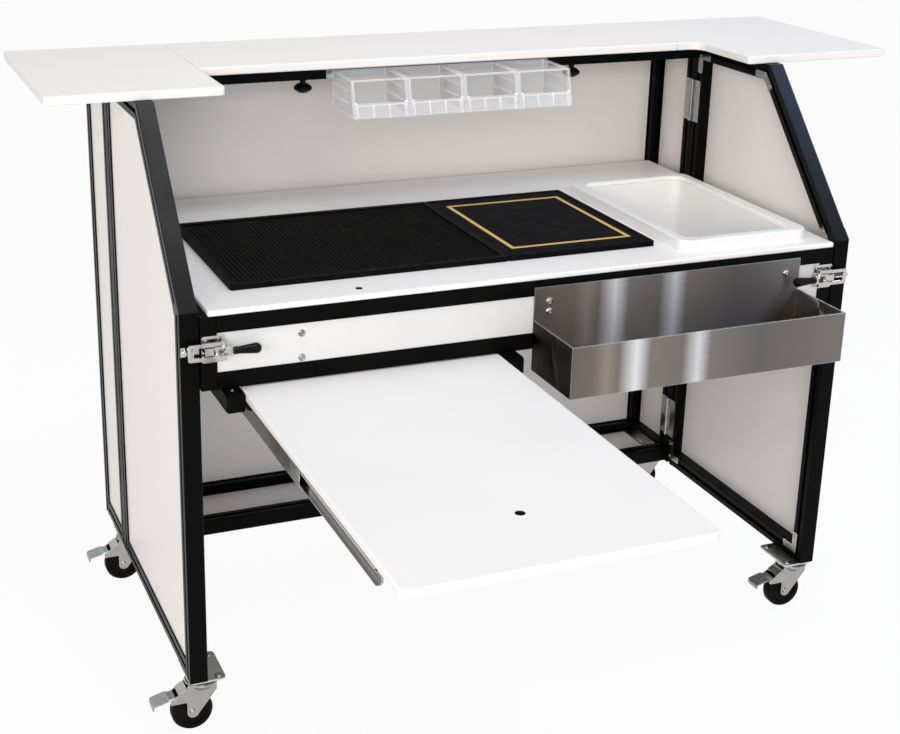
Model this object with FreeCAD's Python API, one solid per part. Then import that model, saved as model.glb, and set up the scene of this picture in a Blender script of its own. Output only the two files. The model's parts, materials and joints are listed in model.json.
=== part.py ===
"""Folding portable bar on casters, bartender's side towards -Y, guests' side towards +Y.

A shallow guest-side box and two hinged end wings of black slot profile carry white panels.
A work shelf hooks between the wings, and a white bar top in three pieces lies on the frame.
Under the shelf a board runs out on telescopic slides, and a speed rail hangs in front.
Millimetres, +Z up. X runs along the bar and Y from the bartender to the guests.
The frame's left outer face, near face and the floor are the zero planes while modelling.
The last step moves the origin to the middle of the floor under the whole bar.
"""
import FreeCAD, Part
import math
import os
from FreeCAD import Vector

EVEN = 1e-6

# Frame, with its heights above the caster plates
FRAME_LENGTH = 1310
FRAME_DEPTH = 728
FRAME_HEIGHT = 982
CASTER_HEIGHT = 106
BOX_DEPTH = 193
KNEE_RISE = 689
SLOPE_TOP_Y = 264

# Slot profile and the panels that sit in it
PROFILE = 32
PROFILE_EDGE = 1.2
SLOT_MOUTH = 8
SLOT_LIP = 2.2
SLOT_CHAMBER = 12
SLOT_DEPTH = 7.5
PANEL = 5
PANEL_INSET = 3
PANEL_BITE = 8
PANEL_FIT = 0.2
KNEE_JOINER = 26
OVERRUN = 20

# Corner plates on the wings' inner faces
PLATE = 2
PLATE_WIDTH = 14
PLATE_LEG = 30
PLATE_EDGE = 2
PLATE_CORNER = 2
RIVET_HOLE_R = 2

# Butt hinges between box and wings
HINGE_UPPER_RISE = 859
HINGE_LOWER_RISE = 114
HINGE_HEIGHT = 90
HINGE_LEAF = 28
HINGE_THICKNESS = 2
KNUCKLE_R = 4
HINGE_PIN_R = 2
HINGE_PIN_FIT = 0.05
KNUCKLES = 5
KNUCKLE_GAP = 0.3
LEAF_HOLE_R = 2.4
LEAF_HOLE_IN = 10

# Base board of the box and the slotted angles that tie it down
BASE_BOARD = 6
BASE_BOARD_UP = 4
STRAP_WIDTH = 20
STRAP_THICKNESS = 2.5
STRAP_RISE = 16
STRAP_SLOT_LENGTH = 26
STRAP_SLOT_WIDTH = 7

# Bar top
TOP = 16
TOP_EDGE_R = 2.5
TOP_CORNER_R = 8
TOP_INNER_CORNER_R = 26
TOP_SEAM = 0.6
TOP_LEFT_OVERHANG = 152
TOP_RIGHT_OVERHANG = 262
TOP_REAR_OVERHANG = 17
TOP_LEFT_WIDTH = 315
TOP_RIGHT_WIDTH = 333
TOP_SEAM_SET_OUT = 52
TOP_END_DEPTH = 465
TOP_MIDDLE_DEPTH = 280

# Clamp knobs that hold the middle top
KNOB_R = 18
KNOB_HEIGHT = 17
KNOB_NECK_R = 6
KNOB_NECK = 9
KNOB_RUNNING = 0.4
STUD_R = 3
STUD_FIT = 0.08
STUD_BITE = 9
KNOB_LEFT_SEAM_IN = 230
KNOB_RIGHT_SEAM_IN = 202
KNOB_UNDER_SHARE = 0.55
KNOB_SHOULDER_SHARE = 0.6
KNOB_BELT_SHARE = 0.35

# Work shelf
SHELF_RISE = 678
SHELF_UPPER_RAIL = 29
SHELF_LOWER_RAIL = 30
SHELF_FRONT_HEIGHT = 128
SHELF_POST = 28
SHELF_EDGE = 1.2
SHELF_SIDE_GAP = 2.6
SHELF_REAR_GAP = 2
FASCIA = 6
FASCIA_INSET = 2
FASCIA_BITE = 6
BOARD = 10
BOARD_LEFT_GAP = 16
BOARD_RIGHT_GAP = 3
BOARD_EDGE_R = 3
BOARD_HOLE_R = 4
BOARD_HOLE_X = 322
BOARD_HOLE_Y = 34

# Drop-in ice bin
ICE_RIM_LENGTH = 460
ICE_RIM_WIDTH = 280
ICE_RIM_HEIGHT = 22
ICE_RIM_STEP = 7
ICE_RIM_STEP_WIDTH = 9
ICE_RIM_BAND = 24
ICE_RIM_CORNER_R = 24
ICE_RIM_ROUND = 4
ICE_RIGHT_GAP = 38
ICE_NEAR_Y = 32
ICE_DEPTH = 150
ICE_TAPER = 12
ICE_WALL = 3.5
ICE_FIT = 2
ICE_WELL_CORNER_R = 22

# Rubber mats
MAT_NEAR_Y = 90
MAT_DEPTH = 395
MAT_HEIGHT = 10
MAT_RIM = 11
MAT_SINK = 3.5
MAT_CORNER_R = 5
BAR_MAT_X = 112
SERVICE_MAT_LENGTH = 302
MAT_ICE_GAP = 26
SERVICE_MAT_SINK = 1.2
SERVICE_MAT_RIM = 7
MAT_GAP = 0.6
MAT_RIB = 4
MAT_RIB_HEIGHT = 1.5
MAT_RIB_PITCH = 8.3
MAT_RIB_END = 6

# Telescopic slides and the board that they carry
TUBE = 32
TUBE_WALL = 2
TUBE_LEFT_X = 68
TUBE_STICK_OUT = 28
TUBE_CAP = 4
TUBE_CAP_R = 5
SLIDE_HEIGHT = 30
SLIDE_WIDTH = 12.4
SLIDE_SHEET = 1.4
SLIDE_CLEARANCE = 0.4
SLIDE_NEAR_Y = 12
SLIDE_REAR_GAP = 24
SLIDE_HELD = 20
ANGLE_SHEET = 2
ANGLE_WIDTH = 26
ANGLE_DROP = 26
SLIDING_BOARD = 13
SLIDING_BOARD_RAIL_GAP = 31
SLIDING_BOARD_DROP = 2
SLIDING_BOARD_REAR_Y = 12
SLIDING_BOARD_LENGTH = 734
SLIDING_BOARD_CORNER_R = 12
SLIDING_BOARD_HOLE_R = 8
SLIDING_BOARD_HOLE_IN = 148
SLIDING_BOARD_GAP = 1

# Speed rail
SPEED_RAIL_RIGHT_GAP = 110
SPEED_RAIL_LENGTH = 560
SPEED_RAIL_DEPTH = 150
SPEED_RAIL_TROUGH = 94
SPEED_RAIL_BACK = 155
SPEED_RAIL_BELOW_TOP = 13
SPEED_RAIL_SHEET = 1.6
SPEED_RAIL_HEM = 3.4
SPEED_RAIL_HEM_HEIGHT = 5
SPEED_RAIL_SCREW_R = 3.2
SPEED_RAIL_SCREW_IN = 30
SPEED_RAIL_SCREW_DOWN = 27
SPEED_RAIL_SCREW_PITCH = 19

# Clear hopper bins on their rail
BIN_KNOB_GAP = 53
BIN_WIDTH = 112
BIN_PITCH = 116.5
BIN_HEIGHT = 71
BIN_LENGTH = 128
BIN_TOP_BELOW = 14
BIN_WALL = 1.8
BIN_LEAN = 17
BIN_LIP_FRONT = 27
BIN_BAR = 7
BIN_FOOT = 2.5
BIN_RIM = 3
BIN_RIM_OUT = 1.2
BIN_RIB = 1.6
BIN_RIB_OUT = 1
BIN_SIDE_RIBS = 2
BIN_FRONT_RIBS = 3
BIN_LADDER_IN = 22
BINS = 4
BIN_RAIL_OVER = 10
BIN_RAIL_SHEET = 2
BIN_RAIL_DEPTH = 9
BIN_RAIL_HEIGHT = 30
BIN_RAIL_LIP = 7
BIN_RAIL_BELOW = 21
BIN_HOOK_GAP = 0.6

# Toggle latches between shelf and wings
LATCH_RISE = 623
LATCH_PIVOT_IN = 24
LATCH_PIVOT_OUT = 14
LATCH_BASE_LEFT = 23
LATCH_BASE_RIGHT = 17
LATCH_BASE_HEIGHT = 46
LATCH_BASE_CORNER = 4
LATCH_SHEET = 2
LATCH_EAR_SPAN = 8
LATCH_NOSE = 20
LATCH_NOSE_OUT = 15
LATCH_GAP = 0.4
LATCH_EAR_R = 6
LATCH_PIN_R = 2.5
LATCH_PIN_HEAD_R = 4
LATCH_PIN_HEAD = 1.5
LATCH_PIN_FIT = 0.06
LATCH_THROW = 12
LATCH_THROW_DROP = 2
LATCH_ARM = 5
LATCH_STRAP = 6
LATCH_STRAP_DEPTH = 4
LATCH_TANG = 26
LATCH_TANG_HALF = 5
LATCH_GRIP = 48
LATCH_GRIP_R = 9
LATCH_TANG_BITE = 16
GRIP_START_SHARE = 0.72
GRIP_COLLAR_SHARE = 0.16
GRIP_COLLAR_STEP = 0.6
GRIP_ROUND_STEPS = 6
HEXAGON = 6
CATCH_IN = 10
CATCH_GAP = 0.6
CATCH_LIP = 2.5
CATCH_WIDTH = 16
CATCH_EDGE = 0.6
CATCH_OUT = 16
CATCH_BOLT_IN = 5.6
CATCH_BOLT_R = 5
CATCH_BOLT = 6
CATCH_STUD_R = 3
CATCH_STUD = 2

# Casters
CASTER_PLATE = 3.5
CASTER_PLATE_WIDTH = 66
CASTER_PLATE_LENGTH = 94
CASTER_PLATE_CORNER_R = 8
CASTER_SWIVEL_IN = 28
CASTER_NEAR_Y = 33
CASTER_REAR_Y = 612
CASTER_PLATE_NEAR_SET = 31
CASTER_RACE_R = 25
CASTER_RACE = 6
CASTER_RACE_ROUND = 2
CASTER_GAP = 0.4
CROWN_R = 31
CROWN = 3
CROWN_ROUND = 1.2
CROWN_FLARE = 12
CROWN_FLARE_R = 20
CASTER_LEG = 2.5
CASTER_BOSS_R = 10.5
CASTER_TRAIL = 20
LEG_NOTCH_RISE = 22
LEG_ARM_REACH = 60
LEG_ARM_TIP = 8
LEG_ARM_TOP_DROP = 8
LEG_FRONT_X = 24
LEG_FRONT_DROP = 16
LEG_FOOT_ANGLE = 25
LEG_ROUND = 5
COVER_START = 31
COVER_END = 46
COVER_SHEET = 2
CASTER_AXLE_R = 4
CASTER_AXLE_FIT = 0.06
CASTER_NUT_R = 6
CASTER_NUT = 4
KINGPIN_R = 4.5
KINGPIN_HEAD_R = 8
KINGPIN_HEAD = 2
CASTER_HOLE_R = 4
CASTER_HOLE_IN = 11
WHEEL_R = 37.5
WHEEL_WIDTH = 24
WHEEL_HUB_R = 13
WHEEL_HUB_WIDTH = 26
WHEEL_WEB_R = 26
WHEEL_STEP_R = 29
WHEEL_WEB_SINK = 4
WHEEL_STEP_SINK = 1.2
WHEEL_TREAD_ROUND = 5
PEDAL_PIVOT_IN = 52
PEDAL_PIVOT_R = 2.2
PEDAL_PIVOT_RISE = 31
PEDAL_EYE_WALL = 1.8
PEDAL_PIN_OUT = 1
PEDAL_SHEET = 2.5
PEDAL_NECK_RISE = 2
PEDAL_TAB_START = 62
PEDAL_TAB_END = 90
PEDAL_TAB_FALL = 0.26
PEDAL_TAB_HALF = 17
PEDAL_TAB_CORNER = 4
PEDAL_CURL = 7

# Planes that follow from the sizes
HALF = PROFILE / 2
FRAME_TOP_Z = CASTER_HEIGHT + FRAME_HEIGHT
KNEE_Z = CASTER_HEIGHT + KNEE_RISE
HINGE_LINE_Y = FRAME_DEPTH - BOX_DEPTH
INNER_LEFT_X = PROFILE
INNER_RIGHT_X = FRAME_LENGTH - PROFILE
REAR_INNER_Y = FRAME_DEPTH - PROFILE
BOX_INNER_Y = HINGE_LINE_Y + PROFILE
TOP_FAR_Y = FRAME_DEPTH + TOP_REAR_OVERHANG
TOP_RIGHT_INNER_X = FRAME_LENGTH + TOP_RIGHT_OVERHANG - TOP_RIGHT_WIDTH
TOP_SEAM_LEFT_X = TOP_LEFT_WIDTH - TOP_LEFT_OVERHANG
TOP_SEAM_RIGHT_X = TOP_RIGHT_INNER_X - TOP_SEAM_SET_OUT
KNOB_LEFT_X = TOP_SEAM_LEFT_X + KNOB_LEFT_SEAM_IN
KNOB_RIGHT_X = TOP_SEAM_RIGHT_X - KNOB_RIGHT_SEAM_IN
BIN_ROW_X = KNOB_LEFT_X + BIN_KNOB_GAP
SHELF_RAIL_TOP_Z = CASTER_HEIGHT + SHELF_RISE
BOARD_TOP_Z = SHELF_RAIL_TOP_Z + BOARD
SHELF_LOW_Z = SHELF_RAIL_TOP_Z - SHELF_FRONT_HEIGHT
LATCH_Z = CASTER_HEIGHT + LATCH_RISE
ICE_RIM_LEFT_X = INNER_RIGHT_X - ICE_RIGHT_GAP - ICE_RIM_WIDTH
SERVICE_MAT_X = ICE_RIM_LEFT_X - MAT_ICE_GAP - SERVICE_MAT_LENGTH
BAR_MAT_LENGTH = SERVICE_MAT_X - MAT_GAP - BAR_MAT_X
SLIDE_LENGTH = REAR_INNER_Y - SLIDE_NEAR_Y - SLIDE_REAR_GAP
SLIDE_TRAVEL = SLIDE_LENGTH - SLIDE_HELD
SPEED_RAIL_X = FRAME_LENGTH - SPEED_RAIL_RIGHT_GAP - SPEED_RAIL_LENGTH
TUBE_RIGHT_X = SPEED_RAIL_X - SLIDING_BOARD_RAIL_GAP - TUBE
SLIDING_BOARD_X = TUBE_LEFT_X + TUBE + SLIDING_BOARD_GAP
SLIDING_BOARD_WIDTH = TUBE_RIGHT_X - SLIDING_BOARD_GAP - SLIDING_BOARD_X
SLIDING_BOARD_NEAR_Y = SLIDING_BOARD_REAR_Y - SLIDING_BOARD_LENGTH

X_AXIS = Vector(1, 0, 0)
Y_AXIS = Vector(0, 1, 0)
Z_AXIS = Vector(0, 0, 1)


def box(x0, y0, z0, x1, y1, z1):
    """A block between two corners."""
    return Part.makeBox(x1 - x0, y1 - y0, z1 - z0, Vector(x0, y0, z0))


def rod(start, axis, radius, length):
    """A round bar from a point along an axis."""
    return Part.makeCylinder(radius, length, start, axis)


def flip(shape):
    """The same piece on the other end of the bar."""
    return shape.mirror(Vector(FRAME_LENGTH / 2, 0, 0), X_AXIS)


def both(shape):
    """A left piece and its right twin."""
    return [shape, flip(shape)]


def edged(block, axis, radius):
    """Round the four long edges of a bar that runs along an axis."""
    long_edges = [
        edge for edge in block.Edges
        if abs(abs(edge.tangentAt(edge.FirstParameter).dot(axis)) - 1) < EVEN
    ]
    return block.makeFillet(radius, long_edges)


def rounded_wire(corners):
    """A closed wire in the XY plane through (x, y, radius) corners."""
    starts = []
    ends = []
    middles = []
    count = len(corners)
    for index, (x, y, radius) in enumerate(corners):
        here = Vector(x, y, 0)
        before = Vector(corners[index - 1][0], corners[index - 1][1], 0) - here
        after = Vector(corners[(index + 1) % count][0], corners[(index + 1) % count][1], 0) - here
        before.normalize()
        after.normalize()
        half_angle = before.getAngle(after) / 2
        cut = radius / math.tan(half_angle)
        bisector = before + after
        bisector.normalize()
        starts.append(here + before * cut)
        ends.append(here + after * cut)
        middles.append(here + bisector * (radius / math.sin(half_angle) - radius))
    edges = []
    for index in range(count):
        if corners[index][2] > 0:
            edges.append(Part.Arc(starts[index], middles[index], ends[index]).toShape())
        following = starts[(index + 1) % count]
        if ends[index].distanceToPoint(following) > EVEN:
            edges.append(Part.LineSegment(ends[index], following).toShape())
    return Part.Wire(edges)


def plate(corners, z, thickness):
    """A flat plate with rounded corners, lying at a height."""
    face = Part.Face(rounded_wire(corners))
    face.translate(Vector(0, 0, z))
    return face.extrude(Vector(0, 0, thickness))


def rectangle(x0, y0, x1, y1, radius):
    """Corners of a rectangle, all with one radius."""
    return [(x0, y0, radius), (x1, y0, radius), (x1, y1, radius), (x0, y1, radius)]


def level_edges(shape, height):
    """The edges of a plate that lie at one height."""
    return [
        edge for edge in shape.Edges
        if abs(edge.BoundBox.ZMin - height) < EVEN and abs(edge.BoundBox.ZMax - height) < EVEN
    ]


def soft_plate(corners, z, thickness, edge_radius):
    """A plate whose upper and lower rims are rounded."""
    solid = plate(corners, z, thickness)
    rims = level_edges(solid, z) + level_edges(solid, z + thickness)
    return solid.makeFillet(edge_radius, rims)


def side_prism(points, x0, x1):
    """A prism along X over (y, z) points."""
    ring = [Vector(x0, y, z) for y, z in points]
    return Part.Face(Part.makePolygon(ring + [ring[0]])).extrude(Vector(x1 - x0, 0, 0))


def turned(ring, axis):
    """A solid turned about an axis through the origin from one half section."""
    return Part.Face(Part.makePolygon(ring + [ring[0]])).revolve(Vector(0, 0, 0), axis, 360)


def along_edges(shape, axis, keep):
    """The straight edges of a shape along an axis that a test on their middle keeps."""
    chosen = []
    for edge in shape.Edges:
        if len(edge.Vertexes) == 2 and abs(abs(edge.tangentAt(edge.FirstParameter).dot(axis)) - 1) < EVEN:
            middle = (edge.Vertexes[0].Point + edge.Vertexes[1].Point) * 0.5
            if keep(middle):
                chosen.append(edge)
    return chosen


def inset(outline, distance):
    """Move every edge of a clockwise (y, z) outline inwards and cross the moved lines."""
    lines = []
    for index, (y0, z0) in enumerate(outline):
        y1, z1 = outline[(index + 1) % len(outline)]
        run = math.hypot(y1 - y0, z1 - z0)
        along = ((y1 - y0) / run, (z1 - z0) / run)
        lines.append(((y0 + along[1] * distance, z0 - along[0] * distance), along))
    corners = []
    for index, (point, along) in enumerate(lines):
        other, heading = lines[index - 1]
        cross = heading[0] * along[1] - heading[1] * along[0]
        gap = ((point[0] - other[0]) * along[1] - (point[1] - other[1]) * along[0]) / cross
        corners.append((other[0] + heading[0] * gap, other[1] + heading[1] * gap))
    return corners


def slot_section(slotted):
    """Outline of the slot profile about its centre, slotted on the sides marked 1.

    The sides come in the order -v, +u, +v, -u.
    """
    mouth = SLOT_MOUTH / 2
    chamber = SLOT_CHAMBER / 2
    slot = [
        (-mouth, 0), (-mouth, SLOT_LIP), (-chamber, SLOT_LIP), (-chamber, SLOT_DEPTH),
        (chamber, SLOT_DEPTH), (chamber, SLOT_LIP), (mouth, SLOT_LIP), (mouth, 0),
    ]
    flat = HALF - PROFILE_EDGE
    points = []
    for turn, marked in enumerate(slotted):
        side = [(-flat, 0)] + (slot if marked else []) + [(flat, 0)]
        for along, deep in side:
            u, v = along, deep - HALF
            for _ in range(turn):
                u, v = -v, u
            points.append((u, v))
    return points


def member(start, end, u_axis, slotted):
    """A length of slot profile between two centre points."""
    run = end - start
    heading = Vector(run)
    heading.normalize()
    v_axis = heading.cross(u_axis)
    ring = [start + u_axis * u + v_axis * v for u, v in slot_section(slotted)]
    return Part.Face(Part.makePolygon(ring + [ring[0]])).extrude(run)


WING = [
    (0, CASTER_HEIGHT),
    (0, KNEE_Z),
    (SLOPE_TOP_Y, FRAME_TOP_Z),
    (HINGE_LINE_Y, FRAME_TOP_Z),
    (HINGE_LINE_Y, CASTER_HEIGHT),
]
WING_INNER = inset(WING, PROFILE)


def slope_heading():
    """Unit (y, z) direction up the slope, and the one square to it that points inwards."""
    rise = FRAME_TOP_Z - KNEE_Z
    run = math.hypot(SLOPE_TOP_Y, rise)
    return (SLOPE_TOP_Y / run, rise / run), (rise / run, -SLOPE_TOP_Y / run)


def wing_panel():
    """The five-sided panel of a wing, at the left end."""
    outline = inset(WING, PROFILE - PANEL_BITE)
    return side_prism(outline, PANEL_INSET, PANEL_INSET + PANEL)


def wing_pocket():
    """Room for the wing panel in the members."""
    outline = inset(WING, PROFILE - PANEL_BITE - PANEL_FIT)
    return side_prism(outline, PANEL_INSET - PANEL_FIT, PANEL_INSET + PANEL + PANEL_FIT)


def wing_members():
    """Left near post, slope, top rail, rear post, bottom rail and knee joiner."""
    up_slope, inwards = slope_heading()
    joint_out = (up_slope[0] * KNEE_JOINER, KNEE_Z + up_slope[1] * KNEE_JOINER)
    joint_in = (joint_out[0] + inwards[0] * PROFILE, joint_out[1] + inwards[1] * PROFILE)
    rear = HINGE_LINE_Y - PROFILE
    low = CASTER_HEIGHT + PROFILE
    high = FRAME_TOP_Z - PROFILE
    regions = [
        [WING[0], WING[1], WING_INNER[1], (PROFILE, CASTER_HEIGHT)],
        [joint_out, WING[2], WING_INNER[2], joint_in],
        [WING[2], (rear, FRAME_TOP_Z), (rear, high), WING_INNER[2]],
        [(rear, FRAME_TOP_Z), WING[3], WING[4], (rear, CASTER_HEIGHT)],
        [(rear, CASTER_HEIGHT), (PROFILE, CASTER_HEIGHT), (PROFILE, low), (rear, low)],
    ]
    centres = inset(WING, HALF)
    pocket = wing_pocket()
    members = []
    for index, region in enumerate(regions):
        first = Vector(HALF, *centres[index])
        last = Vector(HALF, *centres[(index + 1) % len(centres)])
        heading = last - first
        heading.normalize()
        u_axis = Vector(0, heading.z, -heading.y)
        bar = member(first - heading * OVERRUN * 2, last + heading * OVERRUN * 2, u_axis, (1, 0, 1, 0))
        members.append(bar.common(side_prism(region, 0, PROFILE)).cut(pocket))
    joiner = side_prism([WING[1], joint_out, joint_in, WING_INNER[1]], 0, PROFILE).cut(pocket)
    return members, joiner


def corner_plate(index):
    """A bent steel plate over one inner corner of the left wing."""
    count = len(WING)
    outer = inset(WING, PROFILE - PLATE_EDGE - PLATE_WIDTH)
    inner = inset(WING, PROFILE - PLATE_EDGE)
    here_out = outer[index]
    here_in = inner[index]

    def leg(neighbour):
        run = math.hypot(neighbour[0] - here_in[0], neighbour[1] - here_in[1])
        along = ((neighbour[0] - here_in[0]) / run, (neighbour[1] - here_in[1]) / run)
        tip = (here_in[0] + along[0] * PLATE_LEG, here_in[1] + along[1] * PLATE_LEG)
        away = (here_out[0] - here_in[0], here_out[1] - here_in[1])
        slip = away[0] * along[0] + away[1] * along[1]
        square = (away[0] - along[0] * slip, away[1] - along[1] * slip)
        return tip, (tip[0] + square[0], tip[1] + square[1])

    tip_a, tip_a_out = leg(inner[index - 1])
    tip_b, tip_b_out = leg(inner[(index + 1) % count])
    body = side_prism(
        [here_in, tip_a, tip_a_out, here_out, tip_b_out, tip_b], PROFILE, PROFILE + PLATE)
    places = [
        ((tip_a[0] + tip_a_out[0]) / 2, (tip_a[1] + tip_a_out[1]) / 2),
        ((here_in[0] + here_out[0]) / 2, (here_in[1] + here_out[1]) / 2),
        ((tip_b[0] + tip_b_out[0]) / 2, (tip_b[1] + tip_b_out[1]) / 2),
    ]
    middle = places[1]
    for place in places:
        reach = math.hypot(middle[0] - place[0], middle[1] - place[1])
        step = PLATE_WIDTH / 2 / reach if reach > EVEN else 0
        y = place[0] + (middle[0] - place[0]) * step
        z = place[1] + (middle[1] - place[1]) * step
        body = body.cut(rod(Vector(PROFILE - PLATE, y, z), X_AXIS, RIVET_HOLE_R, PLATE * 3))
    corners = [edge for edge in body.Edges if abs(edge.Length - PLATE) < EVEN and len(edge.Vertexes) == 2]
    tips = [edge for edge in corners if not near_point(edge, here_in) and not near_point(edge, here_out)]
    return body.makeFillet(PLATE_CORNER, tips)


def near_point(edge, point):
    """Whether an edge along X stands on a (y, z) point."""
    middle = edge.Vertexes[0].Point
    return math.hypot(middle.y - point[0], middle.z - point[1]) < PLATE_CORNER


def hinge(centre_z):
    """Box leaf, wing leaf and pin of one hinge on the left inner faces."""
    pin_x = PROFILE + KNUCKLE_R
    low = centre_z - HINGE_HEIGHT / 2
    pitch = HINGE_HEIGHT / KNUCKLES
    bore = rod(Vector(pin_x, HINGE_LINE_Y, low - OVERRUN), Z_AXIS,
               HINGE_PIN_R + HINGE_PIN_FIT, HINGE_HEIGHT + OVERRUN * 2)
    leaves = []
    for side, start in ((1, 0), (-1, 1)):
        near = HINGE_LINE_Y
        far = HINGE_LINE_Y + side * HINGE_LEAF
        leaf = box(PROFILE, min(near, far), low, PROFILE + HINGE_THICKNESS, max(near, far),
                   low + HINGE_HEIGHT)
        for slot in range(KNUCKLES):
            z0 = low + slot * pitch
            if slot % 2 == start:
                leaf = leaf.fuse(rod(Vector(pin_x, HINGE_LINE_Y, z0 + KNUCKLE_GAP / 2), Z_AXIS,
                                     KNUCKLE_R, pitch - KNUCKLE_GAP))
            else:
                leaf = leaf.cut(rod(Vector(pin_x, HINGE_LINE_Y, z0 - KNUCKLE_GAP / 2), Z_AXIS,
                                    KNUCKLE_R + KNUCKLE_GAP, pitch + KNUCKLE_GAP))
        leaf = leaf.cut(bore)
        hole_y = HINGE_LINE_Y + side * (HINGE_LEAF - LEAF_HOLE_IN)
        for level in (low + LEAF_HOLE_IN, low + HINGE_HEIGHT - LEAF_HOLE_IN):
            leaf = leaf.cut(rod(Vector(0, hole_y, level), X_AXIS, LEAF_HOLE_R, PROFILE * 2))
        leaves.append(leaf.removeSplitter())
    pin = rod(Vector(pin_x, HINGE_LINE_Y, low), Z_AXIS, HINGE_PIN_R, HINGE_HEIGHT)
    return leaves[0], leaves[1], pin


def guest_panel(grow):
    """The long panel on the guests' side, grown where it is the room for it."""
    reach = PANEL_BITE + grow
    outer = FRAME_DEPTH - PANEL_INSET
    return box(PROFILE - reach, outer - PANEL - grow, CASTER_HEIGHT + PROFILE - reach,
               INNER_RIGHT_X + reach, outer + grow, FRAME_TOP_Z - PROFILE + reach)


def return_panel(grow):
    """The short end panel of the box at the left."""
    reach = PANEL_BITE + grow
    return box(PANEL_INSET - grow, BOX_INNER_Y - reach, CASTER_HEIGHT + PROFILE - reach,
               PANEL_INSET + PANEL + grow, REAR_INNER_Y + reach, FRAME_TOP_Z - PROFILE + reach)


def box_frame():
    """Posts and rails of the guest-side box, with room for its panels and the knob studs."""
    rear_y = FRAME_DEPTH - HALF
    hinge_y = HINGE_LINE_Y + HALF
    low_z = CASTER_HEIGHT + HALF
    high_z = FRAME_TOP_Z - HALF
    corner = member(Vector(HALF, rear_y, CASTER_HEIGHT), Vector(HALF, rear_y, FRAME_TOP_Z),
                    Y_AXIS, (1, 1, 1, 1))
    inner = member(Vector(HALF, hinge_y, CASTER_HEIGHT), Vector(HALF, hinge_y, FRAME_TOP_Z),
                   Y_AXIS, (1, 1, 1, 0))
    rails = {}
    for name, y, z, slotted in (
        ("guest_top", rear_y, high_z, (1, 1, 0, 1)),
        ("inner_top", hinge_y, high_z, (1, 1, 0, 0)),
        ("guest_bottom", rear_y, low_z, (0, 1, 1, 1)),
        ("inner_bottom", hinge_y, low_z, (0, 1, 1, 0)),
    ):
        rails[name] = member(Vector(INNER_LEFT_X, y, z), Vector(INNER_RIGHT_X, y, z), Y_AXIS, slotted)
    for name, z in (("return_top", high_z), ("return_bottom", low_z)):
        rails[name] = member(Vector(HALF, BOX_INNER_Y, z), Vector(HALF, REAR_INNER_Y, z),
                             X_AXIS, (0, 1, 0, 1))
    room = guest_panel(PANEL_FIT)
    end_room = return_panel(PANEL_FIT)
    corner = corner.cut(room).cut(end_room)
    inner = inner.cut(end_room)
    for name in ("guest_top", "guest_bottom"):
        rails[name] = rails[name].cut(room)
    for name in ("return_top", "return_bottom"):
        rails[name] = rails[name].cut(end_room)
    for x in (KNOB_LEFT_X, KNOB_RIGHT_X):
        rails["inner_top"] = rails["inner_top"].cut(
            rod(Vector(x, hinge_y, high_z - PROFILE), Z_AXIS, STUD_R + STUD_FIT, PROFILE * 2))
    return corner, inner, rails


def base_board():
    """White board between the box's bottom rails."""
    low = CASTER_HEIGHT + BASE_BOARD_UP
    return box(INNER_LEFT_X, BOX_INNER_Y, low, INNER_RIGHT_X, REAR_INNER_Y, low + BASE_BOARD)


def base_strap():
    """Slotted steel angle that ties the base board to the left return rail."""
    z = CASTER_HEIGHT + BASE_BOARD_UP + BASE_BOARD
    foot = box(PROFILE, BOX_INNER_Y, z, PROFILE + STRAP_WIDTH, REAR_INNER_Y, z + STRAP_THICKNESS)
    back = box(PROFILE, BOX_INNER_Y, z, PROFILE + STRAP_THICKNESS, REAR_INNER_Y, z + STRAP_RISE)
    middle_x = PROFILE + (STRAP_WIDTH + STRAP_THICKNESS) / 2
    middle_y = (BOX_INNER_Y + REAR_INNER_Y) / 2
    slot = box(middle_x - STRAP_SLOT_WIDTH / 2, middle_y - STRAP_SLOT_LENGTH / 2, z - OVERRUN,
               middle_x + STRAP_SLOT_WIDTH / 2, middle_y + STRAP_SLOT_LENGTH / 2, z + OVERRUN)
    return foot.fuse(back).cut(slot).removeSplitter()


def bar_tops():
    """Left, middle and right piece of the white bar top."""
    left_x = -TOP_LEFT_OVERHANG
    right_x = FRAME_LENGTH + TOP_RIGHT_OVERHANG
    end_near = TOP_FAR_Y - TOP_END_DEPTH
    middle_near = TOP_FAR_Y - TOP_MIDDLE_DEPTH
    gap = TOP_SEAM / 2
    left = soft_plate([
        (left_x, end_near, TOP_CORNER_R), (TOP_SEAM_LEFT_X - gap, end_near, TOP_CORNER_R),
        (TOP_SEAM_LEFT_X - gap, TOP_FAR_Y, TOP_EDGE_R), (left_x, TOP_FAR_Y, TOP_CORNER_R),
    ], FRAME_TOP_Z, TOP, TOP_EDGE_R)
    middle = soft_plate(
        rectangle(TOP_SEAM_LEFT_X + gap, middle_near, TOP_SEAM_RIGHT_X - gap, TOP_FAR_Y, TOP_EDGE_R),
        FRAME_TOP_Z, TOP, TOP_EDGE_R)
    right = soft_plate([
        (TOP_SEAM_RIGHT_X + gap, middle_near, TOP_EDGE_R),
        (TOP_RIGHT_INNER_X, middle_near, TOP_INNER_CORNER_R),
        (TOP_RIGHT_INNER_X, end_near, TOP_CORNER_R), (right_x, end_near, TOP_CORNER_R),
        (right_x, TOP_FAR_Y, TOP_CORNER_R), (TOP_SEAM_RIGHT_X + gap, TOP_FAR_Y, TOP_EDGE_R),
    ], FRAME_TOP_Z, TOP, TOP_EDGE_R)
    for x in (KNOB_LEFT_X, KNOB_RIGHT_X):
        middle = middle.cut(rod(Vector(x, HINGE_LINE_Y + HALF, FRAME_TOP_Z - TOP), Z_AXIS,
                                STUD_R + STUD_FIT, TOP + STUD_BITE + STUD_FIT))
    return left, middle, right


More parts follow.
